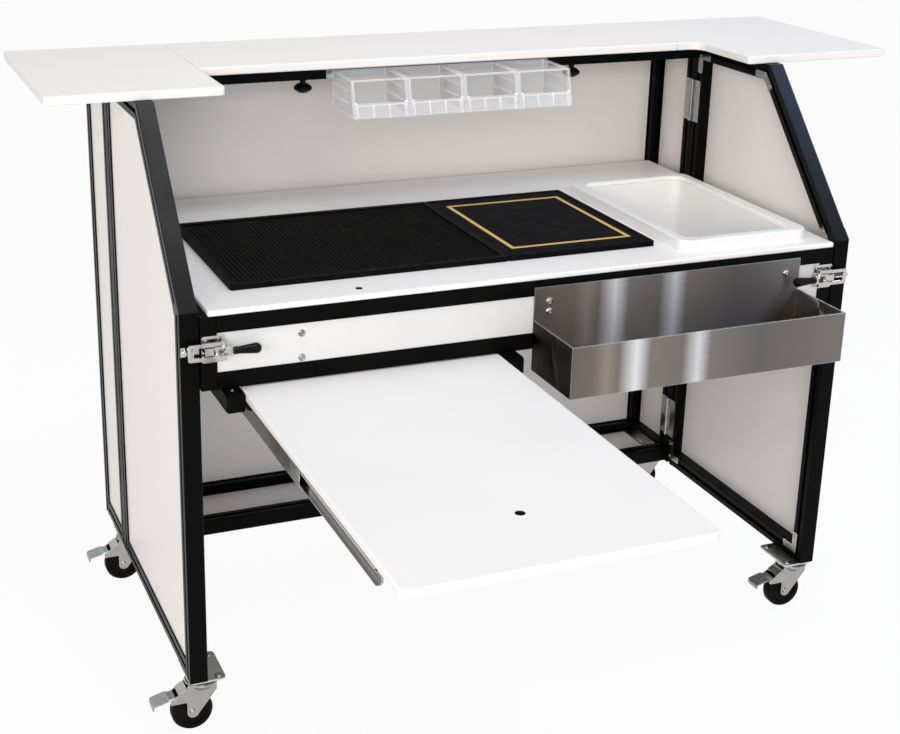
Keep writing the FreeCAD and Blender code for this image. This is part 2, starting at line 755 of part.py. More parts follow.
def clamp_knob(x):
    """Mushroom knob with its stud, turned up into the middle top."""
    top = FRAME_TOP_Z - PROFILE - KNOB_RUNNING
    shoulder = top - KNOB_NECK
    low = shoulder - KNOB_HEIGHT
    belt = KNOB_HEIGHT * KNOB_BELT_SHARE
    outline = [
        (0, low), (KNOB_R * KNOB_UNDER_SHARE, low), (KNOB_R, low + belt), (KNOB_R, shoulder - belt),
        (KNOB_R * KNOB_SHOULDER_SHARE, shoulder), (KNOB_NECK_R, shoulder), (KNOB_NECK_R, top),
        (STUD_R, top), (STUD_R, FRAME_TOP_Z + STUD_BITE), (0, FRAME_TOP_Z + STUD_BITE),
    ]
    knob = turned([Vector(r, 0, z) for r, z in outline], Z_AXIS)
    knob.translate(Vector(x, HINGE_LINE_Y + HALF, 0))
    return knob


def shelf_front():
    """Upper rail, lower rail, end posts and fascia of the shelf's front frame."""
    left = INNER_LEFT_X + SHELF_SIDE_GAP
    inner_left = left + SHELF_POST
    inner_right = FRAME_LENGTH - inner_left
    upper = edged(box(inner_left, 0, SHELF_RAIL_TOP_Z - SHELF_UPPER_RAIL, inner_right,
                      PROFILE, SHELF_RAIL_TOP_Z), X_AXIS, SHELF_EDGE)
    lower = edged(box(inner_left, 0, SHELF_LOW_Z, inner_right, PROFILE,
                      SHELF_LOW_Z + SHELF_LOWER_RAIL), X_AXIS, SHELF_EDGE)
    post = edged(box(left, 0, SHELF_LOW_Z, inner_left, PROFILE, SHELF_RAIL_TOP_Z), Z_AXIS, SHELF_EDGE)

    def fascia(grow):
        bite = FASCIA_BITE + grow
        return box(inner_left - bite, FASCIA_INSET - grow, SHELF_LOW_Z + SHELF_LOWER_RAIL - bite,
                   inner_right + bite, FASCIA_INSET + FASCIA + grow,
                   SHELF_RAIL_TOP_Z - SHELF_UPPER_RAIL + bite)

    room = fascia(PANEL_FIT)
    posts = [piece.cut(room) for piece in both(post)]
    return upper.cut(room), lower.cut(room), posts, fascia(0)


def ice_bin_places():
    """Rim rectangle and well rectangle of the ice bin, seen from above."""
    rim = (ICE_RIM_LEFT_X, ICE_NEAR_Y, ICE_RIM_LEFT_X + ICE_RIM_WIDTH, ICE_NEAR_Y + ICE_RIM_LENGTH)
    well = (rim[0] + ICE_RIM_BAND, rim[1] + ICE_RIM_BAND, rim[2] - ICE_RIM_BAND, rim[3] - ICE_RIM_BAND)
    return rim, well


def shelf_board():
    """White work surface with the ice bin's cut-out and a small pin hole."""
    board = soft_plate(
        rectangle(INNER_LEFT_X + BOARD_LEFT_GAP, 0, INNER_RIGHT_X - BOARD_RIGHT_GAP,
                  REAR_INNER_Y - SHELF_REAR_GAP, BOARD_EDGE_R),
        SHELF_RAIL_TOP_Z, BOARD, BOARD_EDGE_R)
    _, well = ice_bin_places()
    opening = plate(rectangle(well[0] - ICE_FIT, well[1] - ICE_FIT, well[2] + ICE_FIT,
                              well[3] + ICE_FIT, ICE_WELL_CORNER_R),
                    SHELF_RAIL_TOP_Z - OVERRUN, BOARD + OVERRUN * 2)
    pin_hole = rod(Vector(BOARD_HOLE_X, BOARD_HOLE_Y, SHELF_RAIL_TOP_Z - OVERRUN), Z_AXIS,
                   BOARD_HOLE_R, BOARD + OVERRUN * 2)
    return board.cut(opening).cut(pin_hole)


def shelf_underframe():
    """Two side rails and a rear rail under the work surface."""
    z0 = SHELF_RAIL_TOP_Z - SHELF_UPPER_RAIL
    rear = REAR_INNER_Y - SHELF_REAR_GAP
    left = INNER_LEFT_X + SHELF_SIDE_GAP
    side = edged(box(left, PROFILE, z0, left + PROFILE, rear - PROFILE, SHELF_RAIL_TOP_Z),
                 Y_AXIS, SHELF_EDGE)
    back = edged(box(left, rear - PROFILE, z0, FRAME_LENGTH - left, rear, SHELF_RAIL_TOP_Z),
                 X_AXIS, SHELF_EDGE)
    return both(side) + [back]


def well_solid(well, grow, top, bottom):
    """Tapered block with round corners, the outside or the inside of the ice bin's well."""
    upper = rectangle(well[0] - grow, well[1] - grow, well[2] + grow, well[3] + grow,
                      ICE_WELL_CORNER_R + grow)
    lower = rectangle(well[0] - grow + ICE_TAPER, well[1] - grow + ICE_TAPER,
                      well[2] + grow - ICE_TAPER, well[3] + grow - ICE_TAPER,
                      ICE_WELL_CORNER_R + grow)
    high = rounded_wire(upper)
    high.translate(Vector(0, 0, top))
    low = rounded_wire(lower)
    low.translate(Vector(0, 0, bottom))
    return Part.makeLoft([low, high], True, True)


def ice_bin():
    """Drop-in bin: a thick rounded rim with a step, and a tapered well."""
    rim, well = ice_bin_places()
    rim_top = BOARD_TOP_Z + ICE_RIM_HEIGHT
    bottom = BOARD_TOP_Z - ICE_DEPTH
    collar = plate(rectangle(*rim, ICE_RIM_CORNER_R), BOARD_TOP_Z, ICE_RIM_HEIGHT)
    collar = collar.makeFillet(ICE_RIM_ROUND, level_edges(collar, rim_top))
    body = collar.fuse(well_solid(well, 0, rim_top, bottom))
    step = ICE_RIM_STEP_WIDTH - ICE_WALL
    ledge = plate(rectangle(well[0] - step, well[1] - step, well[2] + step, well[3] + step,
                            ICE_WELL_CORNER_R + step),
                  rim_top - ICE_RIM_STEP, ICE_RIM_STEP + OVERRUN)
    hollow = well_solid(well, -ICE_WALL, rim_top + OVERRUN, bottom + ICE_WALL)
    under = plate(rectangle(rim[0] + ICE_WALL, rim[1] + ICE_WALL, rim[2] - ICE_WALL,
                            rim[3] - ICE_WALL, ICE_RIM_CORNER_R - ICE_WALL),
                  BOARD_TOP_Z - OVERRUN, OVERRUN + ICE_RIM_HEIGHT - ICE_RIM_STEP - ICE_WALL)
    under = under.cut(well_solid(well, 0, rim_top, bottom))
    return body.cut(under).cut(ledge).cut(hollow).removeSplitter()


def mat(x0, length, rim, sink):
    """A low rubber mat with a raised rim."""
    x1 = x0 + length
    y0 = MAT_NEAR_Y
    y1 = MAT_NEAR_Y + MAT_DEPTH
    body = plate(rectangle(x0, y0, x1, y1, MAT_CORNER_R), BOARD_TOP_Z, MAT_HEIGHT)
    tray = plate(rectangle(x0 + rim, y0 + rim, x1 - rim, y1 - rim, MAT_CORNER_R / 2),
                 BOARD_TOP_Z + MAT_HEIGHT - sink, sink + OVERRUN)
    return body.cut(tray)


def bar_mat():
    """Ribbed mat at the left of the work surface."""
    body = mat(BAR_MAT_X, BAR_MAT_LENGTH, MAT_RIM, MAT_SINK)
    floor = BOARD_TOP_Z + MAT_HEIGHT - MAT_SINK
    room = BAR_MAT_LENGTH - MAT_RIM * 2
    count = int(room / MAT_RIB_PITCH)
    pitch = room / count
    near = MAT_NEAR_Y + MAT_RIM + MAT_RIB_END
    far = MAT_NEAR_Y + MAT_DEPTH - MAT_RIM - MAT_RIB_END
    ribs = []
    for index in range(count):
        x = BAR_MAT_X + MAT_RIM + pitch * (index + 0.5) - MAT_RIB / 2
        ribs.append(box(x, near, floor - MAT_RIB_HEIGHT, x + MAT_RIB, far, floor + MAT_RIB_HEIGHT))
    return body.fuse(ribs)


def service_mat():
    """Flat mat at the right of the first one."""
    return mat(SERVICE_MAT_X, SERVICE_MAT_LENGTH, SERVICE_MAT_RIM, SERVICE_MAT_SINK)


def slide_tubes():
    """Square tubes under the shelf, their near caps and the drops at their rear ends."""
    top = SHELF_LOW_Z
    rear = REAR_INNER_Y - SHELF_REAR_GAP
    pieces = []
    for x in (TUBE_LEFT_X, TUBE_RIGHT_X):
        outer = edged(box(x, -TUBE_STICK_OUT, top - TUBE, x + TUBE, rear - TUBE, top), Y_AXIS,
                      TUBE_WALL)
        inner = box(x + TUBE_WALL, -TUBE_STICK_OUT - OVERRUN, top - TUBE + TUBE_WALL,
                    x + TUBE - TUBE_WALL, rear, top - TUBE_WALL)
        pieces.append(outer.cut(inner))
        cap = edged(box(x, -TUBE_STICK_OUT - TUBE_CAP, top - TUBE, x + TUBE, -TUBE_STICK_OUT, top),
                    Y_AXIS, TUBE_CAP_R)
        pieces.append(cap)
        drop = box(x, rear - TUBE, top - TUBE, x + TUBE, rear, SHELF_RAIL_TOP_Z - SHELF_UPPER_RAIL)
        pieces.append(edged(drop, Z_AXIS, TUBE_WALL))
    return pieces


def channel(x0, x1, y0, y1, half_height, back):
    """A thin channel lying along Y, its web at x0 or at x1, about height zero."""
    block = box(x0, y0, -half_height, x1, y1, half_height)
    if back:
        room = box(x0 - OVERRUN, y0 - OVERRUN, SLIDE_SHEET - half_height, x1 - SLIDE_SHEET,
                   y1 + OVERRUN, half_height - SLIDE_SHEET)
    else:
        room = box(x0 + SLIDE_SHEET, y0 - OVERRUN, SLIDE_SHEET - half_height, x1 + OVERRUN,
                   y1 + OVERRUN, half_height - SLIDE_SHEET)
    return block.cut(room)


def slides():
    """Outer, middle and inner members of both slides, and the angles under the board."""
    board_low = SHELF_LOW_Z - SLIDING_BOARD_DROP - SLIDING_BOARD
    centre_z = board_low - ANGLE_SHEET - SLIDE_CLEARANCE - SLIDE_HEIGHT / 2
    face = TUBE_LEFT_X + TUBE
    step = SLIDE_SHEET + SLIDE_CLEARANCE
    half = SLIDE_HEIGHT / 2
    near = SLIDE_NEAR_Y
    far = SLIDE_NEAR_Y + SLIDE_LENGTH
    web = face + SLIDE_WIDTH
    outer = channel(face, web - step, near, far, half, False)
    middle = channel(face + step, web - SLIDE_CLEARANCE, near - SLIDE_TRAVEL / 2,
                     far - SLIDE_TRAVEL / 2, half - step, False)
    inner = channel(face + step * 2, web, near - SLIDE_TRAVEL, far - SLIDE_TRAVEL,
                    half - step * 2, True)
    angle_top = half + SLIDE_CLEARANCE + ANGLE_SHEET
    shelf_leg = box(face + SLIDING_BOARD_GAP, near - SLIDE_TRAVEL, angle_top - ANGLE_SHEET,
                    web + ANGLE_WIDTH, far - SLIDE_TRAVEL, angle_top)
    side_leg = box(web, near - SLIDE_TRAVEL, angle_top - ANGLE_DROP, web + ANGLE_SHEET,
                   far - SLIDE_TRAVEL, angle_top)
    angle = shelf_leg.fuse(side_leg).removeSplitter()
    twin_centre = face + SLIDING_BOARD_GAP + SLIDING_BOARD_WIDTH / 2
    groups = []
    for piece in (outer, middle, inner, angle):
        piece.translate(Vector(0, 0, centre_z))
        groups.append([piece, piece.mirror(Vector(twin_centre, 0, 0), X_AXIS)])
    return groups


def sliding_board():
    """White board with round corners, drawn out on its slides."""
    top = SHELF_LOW_Z - SLIDING_BOARD_DROP
    board = soft_plate(
        rectangle(SLIDING_BOARD_X, SLIDING_BOARD_NEAR_Y, SLIDING_BOARD_X + SLIDING_BOARD_WIDTH,
                  SLIDING_BOARD_REAR_Y, SLIDING_BOARD_CORNER_R),
        top - SLIDING_BOARD, SLIDING_BOARD, BOARD_EDGE_R)
    hole = rod(Vector(SLIDING_BOARD_X + SLIDING_BOARD_WIDTH / 2, SLIDING_BOARD_NEAR_Y + SLIDING_BOARD_HOLE_IN,
                      top - SLIDING_BOARD - OVERRUN), Z_AXIS, SLIDING_BOARD_HOLE_R,
               SLIDING_BOARD + OVERRUN * 2)
    return board.cut(hole)


def speed_rail():
    """Folded stainless trough with a high back plate and hemmed edges."""
    x0 = SPEED_RAIL_X
    x1 = x0 + SPEED_RAIL_LENGTH
    back_top = SHELF_RAIL_TOP_Z - SPEED_RAIL_BELOW_TOP
    low = back_top - SPEED_RAIL_BACK
    rim = low + SPEED_RAIL_TROUGH
    sheet = SPEED_RAIL_SHEET
    front = -SPEED_RAIL_DEPTH
    hem = SPEED_RAIL_HEM
    pieces = [
        box(x0, -sheet, low, x1, 0, back_top),
        box(x0, front, low, x1, front + sheet, rim),
        box(x0, front, low, x0 + sheet, 0, rim),
        box(x1 - sheet, front, low, x1, 0, rim),
        box(x0, front, rim - SPEED_RAIL_HEM_HEIGHT, x1, front + hem, rim),
        box(x0, front, rim - SPEED_RAIL_HEM_HEIGHT, x0 + hem, 0, rim),
        box(x1 - hem, front, rim - SPEED_RAIL_HEM_HEIGHT, x1, 0, rim),
    ]
    body = box(x0, front, low, x1, 0, low + sheet).fuse(pieces).removeSplitter()
    level = back_top - SPEED_RAIL_SCREW_DOWN
    left_x = x0 + SPEED_RAIL_SCREW_IN
    screws = ((left_x, level), (left_x, level - SPEED_RAIL_SCREW_PITCH), (x1 - SPEED_RAIL_SCREW_IN, level))
    for x, z in screws:
        body = body.cut(rod(Vector(x, -OVERRUN, z), Y_AXIS, SPEED_RAIL_SCREW_R, OVERRUN * 2))
    return body


def bin_rail():
    """Hooked strip on the inner top rail that the clear bins hang from."""
    x0 = BIN_ROW_X - BIN_RAIL_OVER
    x1 = BIN_ROW_X + BIN_PITCH * (BINS - 1) + BIN_WIDTH + BIN_RAIL_OVER
    back = HINGE_LINE_Y
    web = FRAME_TOP_Z - BIN_RAIL_BELOW - BIN_RAIL_LIP - BIN_RAIL_SHEET
    top = web + BIN_RAIL_HEIGHT
    strip = box(x0, back - BIN_RAIL_SHEET, web, x1, back, min(top, FRAME_TOP_Z - BIN_RAIL_SHEET))
    floor = box(x0, back - BIN_RAIL_DEPTH, web, x1, back, web + BIN_RAIL_SHEET)
    lip = box(x0, back - BIN_RAIL_DEPTH, web, x1, back - BIN_RAIL_DEPTH + BIN_RAIL_SHEET,
              web + BIN_RAIL_SHEET + BIN_RAIL_LIP)
    return strip.fuse([floor, lip]).removeSplitter()


def storage_bin(index):
    """One clear hopper bin: open top, low front wall, window in a thick frame, ribs, hook at the back."""
    x0 = BIN_ROW_X + BIN_PITCH * index
    x1 = x0 + BIN_WIDTH
    lip_near = HINGE_LINE_Y - BIN_RAIL_DEPTH
    rear = lip_near - BIN_HOOK_GAP
    top = FRAME_TOP_Z - BIN_TOP_BELOW
    low = top - BIN_HEIGHT
    near = rear - BIN_LENGTH
    wall = BIN_WALL
    outer = side_prism([(near, low), (near + BIN_LEAN, top), (rear, top), (rear, low)], x0, x1)
    inner = side_prism([
        (near + wall, low + wall), (near + BIN_LEAN + wall, top + OVERRUN),
        (rear - wall, top + OVERRUN), (rear - wall, low + wall)], x0 + wall, x1 - wall)
    window = box(x0 + BIN_BAR, near - OVERRUN, low + BIN_LIP_FRONT, x1 - BIN_BAR,
                 near + BIN_LEAN + wall * 2, top - BIN_BAR)
    added = []
    for sign, side in ((1, x0), (-1, x1)):
        outside = side - sign * BIN_RIM_OUT
        inside = side + sign * BIN_RIM
        left, right = min(outside, inside), max(outside, inside)
        added.append(box(left, near + BIN_LEAN, top - BIN_RIM, right, rear, top))
        frame = side_prism([
            (near, low), (near + BIN_LEAN, top), (near + BIN_LEAN + BIN_BAR, top), (near + BIN_BAR, low),
        ], left, right)
        added.append(frame)
        proud = side - sign * BIN_RIB_OUT
        root = side + sign * wall / 2
        for level in range(BIN_SIDE_RIBS):
            z = low + BIN_HEIGHT * (level + 1) / (BIN_SIDE_RIBS + 1)
            added.append(box(min(proud, root), near + BIN_LEAN + BIN_LADDER_IN, z, max(proud, root),
                             rear - BIN_BAR, z + BIN_RIB))
        foot = side + sign * BIN_FOOT
        added.append(box(min(foot, foot + sign * BIN_FOOT), near + BIN_FOOT, low - BIN_FOOT,
                         max(foot, foot + sign * BIN_FOOT), rear - BIN_FOOT, low + wall / 2))
    added.append(box(x0, near + BIN_LEAN, top - BIN_RIM, x1, near + BIN_LEAN + BIN_RIM, top))
    added.append(box(x0, rear - BIN_RIM, top - BIN_RIM, x1, rear, top))
    lean = BIN_LEAN * BIN_LIP_FRONT / BIN_HEIGHT
    added.append(box(x0, near + lean - wall / 2, low + BIN_LIP_FRONT - BIN_RIM, x1,
                     near + lean + wall, low + BIN_LIP_FRONT))
    room = (BIN_WIDTH - BIN_BAR * 2) / BIN_FRONT_RIBS
    for column in range(BIN_FRONT_RIBS + 1):
        x = x0 + BIN_BAR + room * column - BIN_RIB / 2
        added.append(side_prism([
            (near - BIN_RIB_OUT, low), (near - BIN_RIB_OUT + lean, low + BIN_LIP_FRONT),
            (near + lean + wall / 2, low + BIN_LIP_FRONT), (near + wall / 2, low)], x, x + BIN_RIB))
    hook_top = FRAME_TOP_Z - BIN_RAIL_BELOW + BIN_HOOK_GAP
    channel_far = HINGE_LINE_Y - BIN_RAIL_SHEET - BIN_HOOK_GAP
    channel_near = lip_near + BIN_RAIL_SHEET + BIN_HOOK_GAP
    added.append(box(x0, rear - wall, hook_top, x1, channel_far, hook_top + wall))
    added.append(box(x0, channel_near, hook_top - BIN_RAIL_LIP + BIN_HOOK_GAP, x1, channel_far,
                     hook_top + wall))
    return outer.cut(inner).cut(window).fuse(added).removeSplitter()


def latch_sheets(low, high):
    """Bottom and top of a pair of sheets above and below the latches' middle height."""
    return [(LATCH_Z + low, LATCH_Z + high), (LATCH_Z - high, LATCH_Z - low)]


def latch():
    """Base, handle, grip, hook and catch of the left toggle latch, on the shelf's near plane."""
    pivot = Vector(INNER_LEFT_X + SHELF_SIDE_GAP + LATCH_PIVOT_IN, -LATCH_PIVOT_OUT, LATCH_Z)
    knuckle = pivot + Vector(LATCH_THROW, LATCH_THROW_DROP, 0)
    ear = LATCH_EAR_SPAN / 2
    cheek = ear + LATCH_SHEET + LATCH_GAP
    arm = cheek + LATCH_SHEET + LATCH_GAP
    handle, grip = latch_handle(pivot, knuckle, cheek, arm)
    return latch_base(pivot, ear, cheek), handle, grip, latch_hook(knuckle, arm), latch_catch()


def latch_base(pivot, ear, cheek):
    """Foot plate on the shelf, two ears with their nose, and the pivot pin."""
    sheet = LATCH_SHEET
    foot = box(pivot.x - LATCH_BASE_LEFT, -sheet, LATCH_Z - LATCH_BASE_HEIGHT / 2,
               pivot.x + LATCH_BASE_RIGHT, 0, LATCH_Z + LATCH_BASE_HEIGHT / 2)
    foot = edged(foot, Y_AXIS, LATCH_BASE_CORNER)
    parts = []
    for low, high in latch_sheets(ear, ear + sheet):
        parts.append(box(pivot.x - LATCH_NOSE, -LATCH_NOSE_OUT, low, pivot.x + LATCH_EAR_R, 0, high))
        parts.append(rod(Vector(pivot.x, pivot.y, low), Z_AXIS, LATCH_EAR_R, high - low))
    parts.append(box(pivot.x - LATCH_NOSE, -LATCH_NOSE_OUT, LATCH_Z - ear, pivot.x - LATCH_EAR_R,
                     sheet - LATCH_NOSE_OUT, LATCH_Z + ear))
    reach = cheek + sheet
    parts.append(rod(Vector(pivot.x, pivot.y, LATCH_Z - reach), Z_AXIS, LATCH_PIN_R, reach * 2))
    return foot.fuse(parts).removeSplitter()


def latch_handle(pivot, knuckle, cheek, arm):
    """Steel handle with the hook's pins, and the plastic grip on its tang."""
    sheet = LATCH_SHEET
    outer_y = pivot.y - LATCH_EAR_R + LATCH_GAP
    pin_end = arm + LATCH_STRAP + LATCH_GAP
    tang_x = pivot.x + LATCH_TANG
    parts = []
    for low, high in latch_sheets(cheek, cheek + sheet):
        parts.append(box(pivot.x, outer_y, low, tang_x, knuckle.y + LATCH_ARM / 2, high))
        parts.append(rod(Vector(pivot.x, pivot.y, low), Z_AXIS, LATCH_EAR_R, high - low))
    for radius, inner, outer in ((LATCH_PIN_R, cheek, pin_end),
                                 (LATCH_PIN_HEAD_R, pin_end, pin_end + LATCH_PIN_HEAD)):
        for low, high in latch_sheets(inner, outer):
            parts.append(rod(Vector(knuckle.x, knuckle.y, low), Z_AXIS, radius, high - low))
    web_x = pivot.x + LATCH_THROW + LATCH_EAR_R + LATCH_GAP
    parts.append(box(web_x, outer_y, LATCH_Z - cheek - sheet, tang_x, outer_y + sheet,
                     LATCH_Z + cheek + sheet))
    tang = box(web_x, outer_y, LATCH_Z - LATCH_TANG_HALF, tang_x + LATCH_TANG_BITE, outer_y + sheet,
               LATCH_Z + LATCH_TANG_HALF)
    eye = rod(Vector(pivot.x, pivot.y, LATCH_Z - pin_end), Z_AXIS, LATCH_PIN_R + LATCH_PIN_FIT,
              pin_end * 2)
    steel = tang.fuse(parts).cut(eye).removeSplitter()

    start_r = LATCH_GRIP_R * GRIP_START_SHARE
    outline = [(0, 0), (0, start_r), (LATCH_GRIP * GRIP_COLLAR_SHARE, start_r),
               (LATCH_GRIP * GRIP_COLLAR_SHARE, start_r - GRIP_COLLAR_STEP)]
    for step in range(GRIP_ROUND_STEPS + 1):
        angle = math.pi / 2 * step / GRIP_ROUND_STEPS
        outline.append((LATCH_GRIP - LATCH_GRIP_R * (1 - math.sin(angle)), LATCH_GRIP_R * math.cos(angle)))
    grip = turned([Vector(along, 0, up) for along, up in outline], X_AXIS)
    grip.translate(Vector(tang_x, outer_y + sheet / 2, LATCH_Z))
    return steel, grip.cut(tang)


def latch_hook(knuckle, arm):
    """Frame-shaped hook that hangs on the handle's pins and reaches over the catch."""
    near = knuckle.y - LATCH_STRAP_DEPTH / 2
    far = knuckle.y + LATCH_STRAP_DEPTH / 2
    outer = arm + LATCH_STRAP
    hook = box(CATCH_IN, near, LATCH_Z - outer, CATCH_IN + LATCH_STRAP, far, LATCH_Z + outer)
    parts = []
    for low, high in latch_sheets(arm, outer):
        parts.append(box(CATCH_IN, near, low, knuckle.x, far, high))
        parts.append(rod(Vector(knuckle.x, knuckle.y, low), Z_AXIS, LATCH_ARM, high - low))
    hook = hook.fuse(parts).removeSplitter()
    corners = along_edges(hook, Y_AXIS, lambda middle: middle.x < CATCH_IN + EVEN)
    hook = hook.makeFillet(LATCH_BASE_CORNER, corners)
    eye = rod(Vector(knuckle.x, knuckle.y, LATCH_Z - outer), Z_AXIS, LATCH_PIN_R + LATCH_PIN_FIT,
              outer * 2)
    return hook.cut(eye)


def latch_catch():
    """Plate on the wing's near post with the hook's lip and a hexagon bolt."""
    sheet = LATCH_SHEET
    half = CATCH_WIDTH / 2
    lip_x = CATCH_IN + LATCH_STRAP + CATCH_GAP
    catch = box(CATCH_BOLT_IN - CATCH_BOLT_R, -sheet, LATCH_Z - half, INNER_LEFT_X - CATCH_EDGE, 0,
                LATCH_Z + half)
    lip = box(lip_x, -CATCH_OUT, LATCH_Z - half, lip_x + CATCH_LIP, 0, LATCH_Z + half)
    ring = []
    for corner in range(HEXAGON):
        angle = 2 * math.pi * corner / HEXAGON
        ring.append(Vector(CATCH_BOLT_IN + CATCH_BOLT_R * math.cos(angle), -sheet - CATCH_BOLT,
                           LATCH_Z + CATCH_BOLT_R * math.sin(angle)))
    bolt = Part.Face(Part.makePolygon(ring + [ring[0]])).extrude(Vector(0, CATCH_BOLT + sheet / 2, 0))
    stud = rod(Vector(CATCH_BOLT_IN, -sheet - CATCH_BOLT - CATCH_STUD, LATCH_Z), Y_AXIS, CATCH_STUD_R,
               CATCH_STUD + sheet)
    return catch.fuse([lip, bolt, stud]).removeSplitter()


def caster_places():
    """Swivel centres as name, x, y, and the near edge of the mounting plate."""
    near_plate = CASTER_NEAR_Y - CASTER_PLATE_NEAR_SET
    rear_plate = CASTER_REAR_Y - CASTER_PLATE_LENGTH / 2
    far_x = FRAME_LENGTH - CASTER_SWIVEL_IN
    return [
        ("near_left", CASTER_SWIVEL_IN, CASTER_NEAR_Y, near_plate),
        ("near_right", far_x, CASTER_NEAR_Y, near_plate),
        ("rear_left", CASTER_SWIVEL_IN, CASTER_REAR_Y, rear_plate),
        ("rear_right", far_x, CASTER_REAR_Y, rear_plate),
    ]


def crown_heights():
    """Top and bottom of a fork's crown."""
    crown_top = CASTER_HEIGHT - CASTER_PLATE - CASTER_RACE - CASTER_GAP
    return crown_top, crown_top - CROWN


def caster_plate(x, y, plate_near):
    """Mounting plate with its race, and the kingpin that carries the fork."""
    on_left = x < FRAME_LENGTH / 2
    x0 = 0 if on_left else FRAME_LENGTH - CASTER_PLATE_WIDTH
    x1 = x0 + CASTER_PLATE_WIDTH
    y1 = plate_near + CASTER_PLATE_LENGTH
    z = CASTER_HEIGHT - CASTER_PLATE
    body = plate(rectangle(x0, plate_near, x1, y1, CASTER_PLATE_CORNER_R), z, CASTER_PLATE)
    for hole_x in (x0 + CASTER_HOLE_IN, x1 - CASTER_HOLE_IN):
        for hole_y in (plate_near + CASTER_HOLE_IN, y1 - CASTER_HOLE_IN):
            body = body.cut(rod(Vector(hole_x, hole_y, z - OVERRUN), Z_AXIS, CASTER_HOLE_R,
                                CASTER_PLATE + OVERRUN * 2))
    race = rod(Vector(x, y, z - CASTER_RACE), Z_AXIS, CASTER_RACE_R, CASTER_RACE)
    race = race.makeFillet(CASTER_RACE_ROUND, level_edges(race, z - CASTER_RACE))
    stem = CASTER_RACE + CASTER_GAP * 2 + CROWN
    kingpin = rod(Vector(x, y, z - stem), Z_AXIS, KINGPIN_R, stem)
    head = rod(Vector(x, y, z - stem - KINGPIN_HEAD), Z_AXIS, KINGPIN_HEAD_R, KINGPIN_HEAD)
    return body.fuse([race, kingpin, head]).removeSplitter()


def upright_plate(corners, y0, thickness):
    """A plate with rounded corners that stands in the XZ plane."""
    face = Part.Face(rounded_wire(corners))
    face.rotate(Vector(0, 0, 0), X_AXIS, 90)
    face.translate(Vector(0, y0, 0))
    return face.extrude(Vector(0, thickness, 0))


def fork_leg_corners():
    """Outline of a pressed leg: slanted front, round foot, notch over the wheel, brake arm."""
    _, crown_low = crown_heights()
    root = crown_low + CROWN / 2
    axle_x = -CASTER_TRAIL
    notch_z = WHEEL_R + LEG_NOTCH_RISE
    slant = math.radians(LEG_FOOT_ANGLE)
    foot_x = axle_x + CASTER_BOSS_R * math.cos(slant)
    foot_z = WHEEL_R - CASTER_BOSS_R * math.sin(slant)
    return [
        (LEG_FRONT_X, root, 0),
        (LEG_FRONT_X, crown_low - LEG_FRONT_DROP, LEG_ROUND),
        (foot_x, foot_z, 0),
        (axle_x - CASTER_BOSS_R, WHEEL_R, 0),
        (axle_x - CASTER_BOSS_R, notch_z, LEG_ROUND / 2),
        (-LEG_ARM_REACH, notch_z, LEG_ROUND / 2),
        (-LEG_ARM_REACH, notch_z + LEG_ARM_TIP, LEG_ROUND / 2),
        (-COVER_START, crown_low - LEG_ARM_TOP_DROP, 0),
        (-COVER_START + LEG_ROUND, root, 0),
    ]


def caster_fork(x, y):
    """Swivelling fork: crown, flared legs, brake arms with their cover, axle and brake pin."""
    crown_top, crown_low = crown_heights()
    inside = WHEEL_HUB_WIDTH / 2 + CASTER_GAP
    reach = inside + CASTER_LEG
    crown = rod(Vector(0, 0, crown_low), Z_AXIS, CROWN_R, CROWN)
    crown = crown.makeFillet(CROWN_ROUND, level_edges(crown, crown_top))
    crown = crown.cut(rod(Vector(0, 0, crown_low - OVERRUN), Z_AXIS, KINGPIN_R + CASTER_AXLE_FIT,
                          OVERRUN * 2))
    flare = Part.makeCone(CROWN_FLARE_R, CROWN_R, CROWN_FLARE, Vector(0, 0, crown_low - CROWN_FLARE))
    flare = flare.cut(box(-CROWN_R - OVERRUN, -inside, 0, CROWN_R + OVERRUN, inside, crown_top))
    parts = [flare]
    corners = fork_leg_corners()
    axle = Vector(-CASTER_TRAIL, 0, WHEEL_R)
    pin = Vector(-PEDAL_PIVOT_IN, 0, WHEEL_R + PEDAL_PIVOT_RISE)
    for sign in (-1, 1):
        leg_y = min(sign * inside, sign * reach)
        parts.append(upright_plate(corners, leg_y, CASTER_LEG))
        parts.append(rod(axle + Vector(0, leg_y, 0), Y_AXIS, CASTER_BOSS_R, CASTER_LEG))
        nut_y = min(sign * reach, sign * (reach + CASTER_NUT))
        nut = rod(axle + Vector(0, nut_y, 0), Y_AXIS, CASTER_NUT_R, CASTER_NUT)
        rim = [edge for edge in nut.Edges
               if abs(abs(edge.CenterOfMass.y) - reach - CASTER_NUT) < EVEN and len(edge.Vertexes) == 1]
        parts.append(nut.makeFillet(CROWN_ROUND, rim))
    parts.append(rod(axle - Vector(0, reach, 0), Y_AXIS, CASTER_AXLE_R, reach * 2))
    pin_reach = reach + PEDAL_PIN_OUT
    parts.append(rod(pin - Vector(0, pin_reach, 0), Y_AXIS, PEDAL_PIVOT_R, pin_reach * 2))
    cover_top, tip_top = corners[-2], corners[-3]
    fall = (cover_top[1] - tip_top[1]) / (cover_top[0] - tip_top[0])
    drop = fall * (COVER_END - COVER_START)
    ring = [
        Vector(cover_top[0], -reach, cover_top[1]), Vector(-COVER_END, -reach, cover_top[1] - drop),
        Vector(-COVER_END, -reach, cover_top[1] - drop + COVER_SHEET),
        Vector(cover_top[0], -reach, cover_top[1] + COVER_SHEET),
    ]
    parts.append(Part.Face(Part.makePolygon(ring + [ring[0]])).extrude(Vector(0, reach * 2, 0)))
    fork = crown.fuse(parts).removeSplitter()
    fork.translate(Vector(x, y, 0))
    return fork


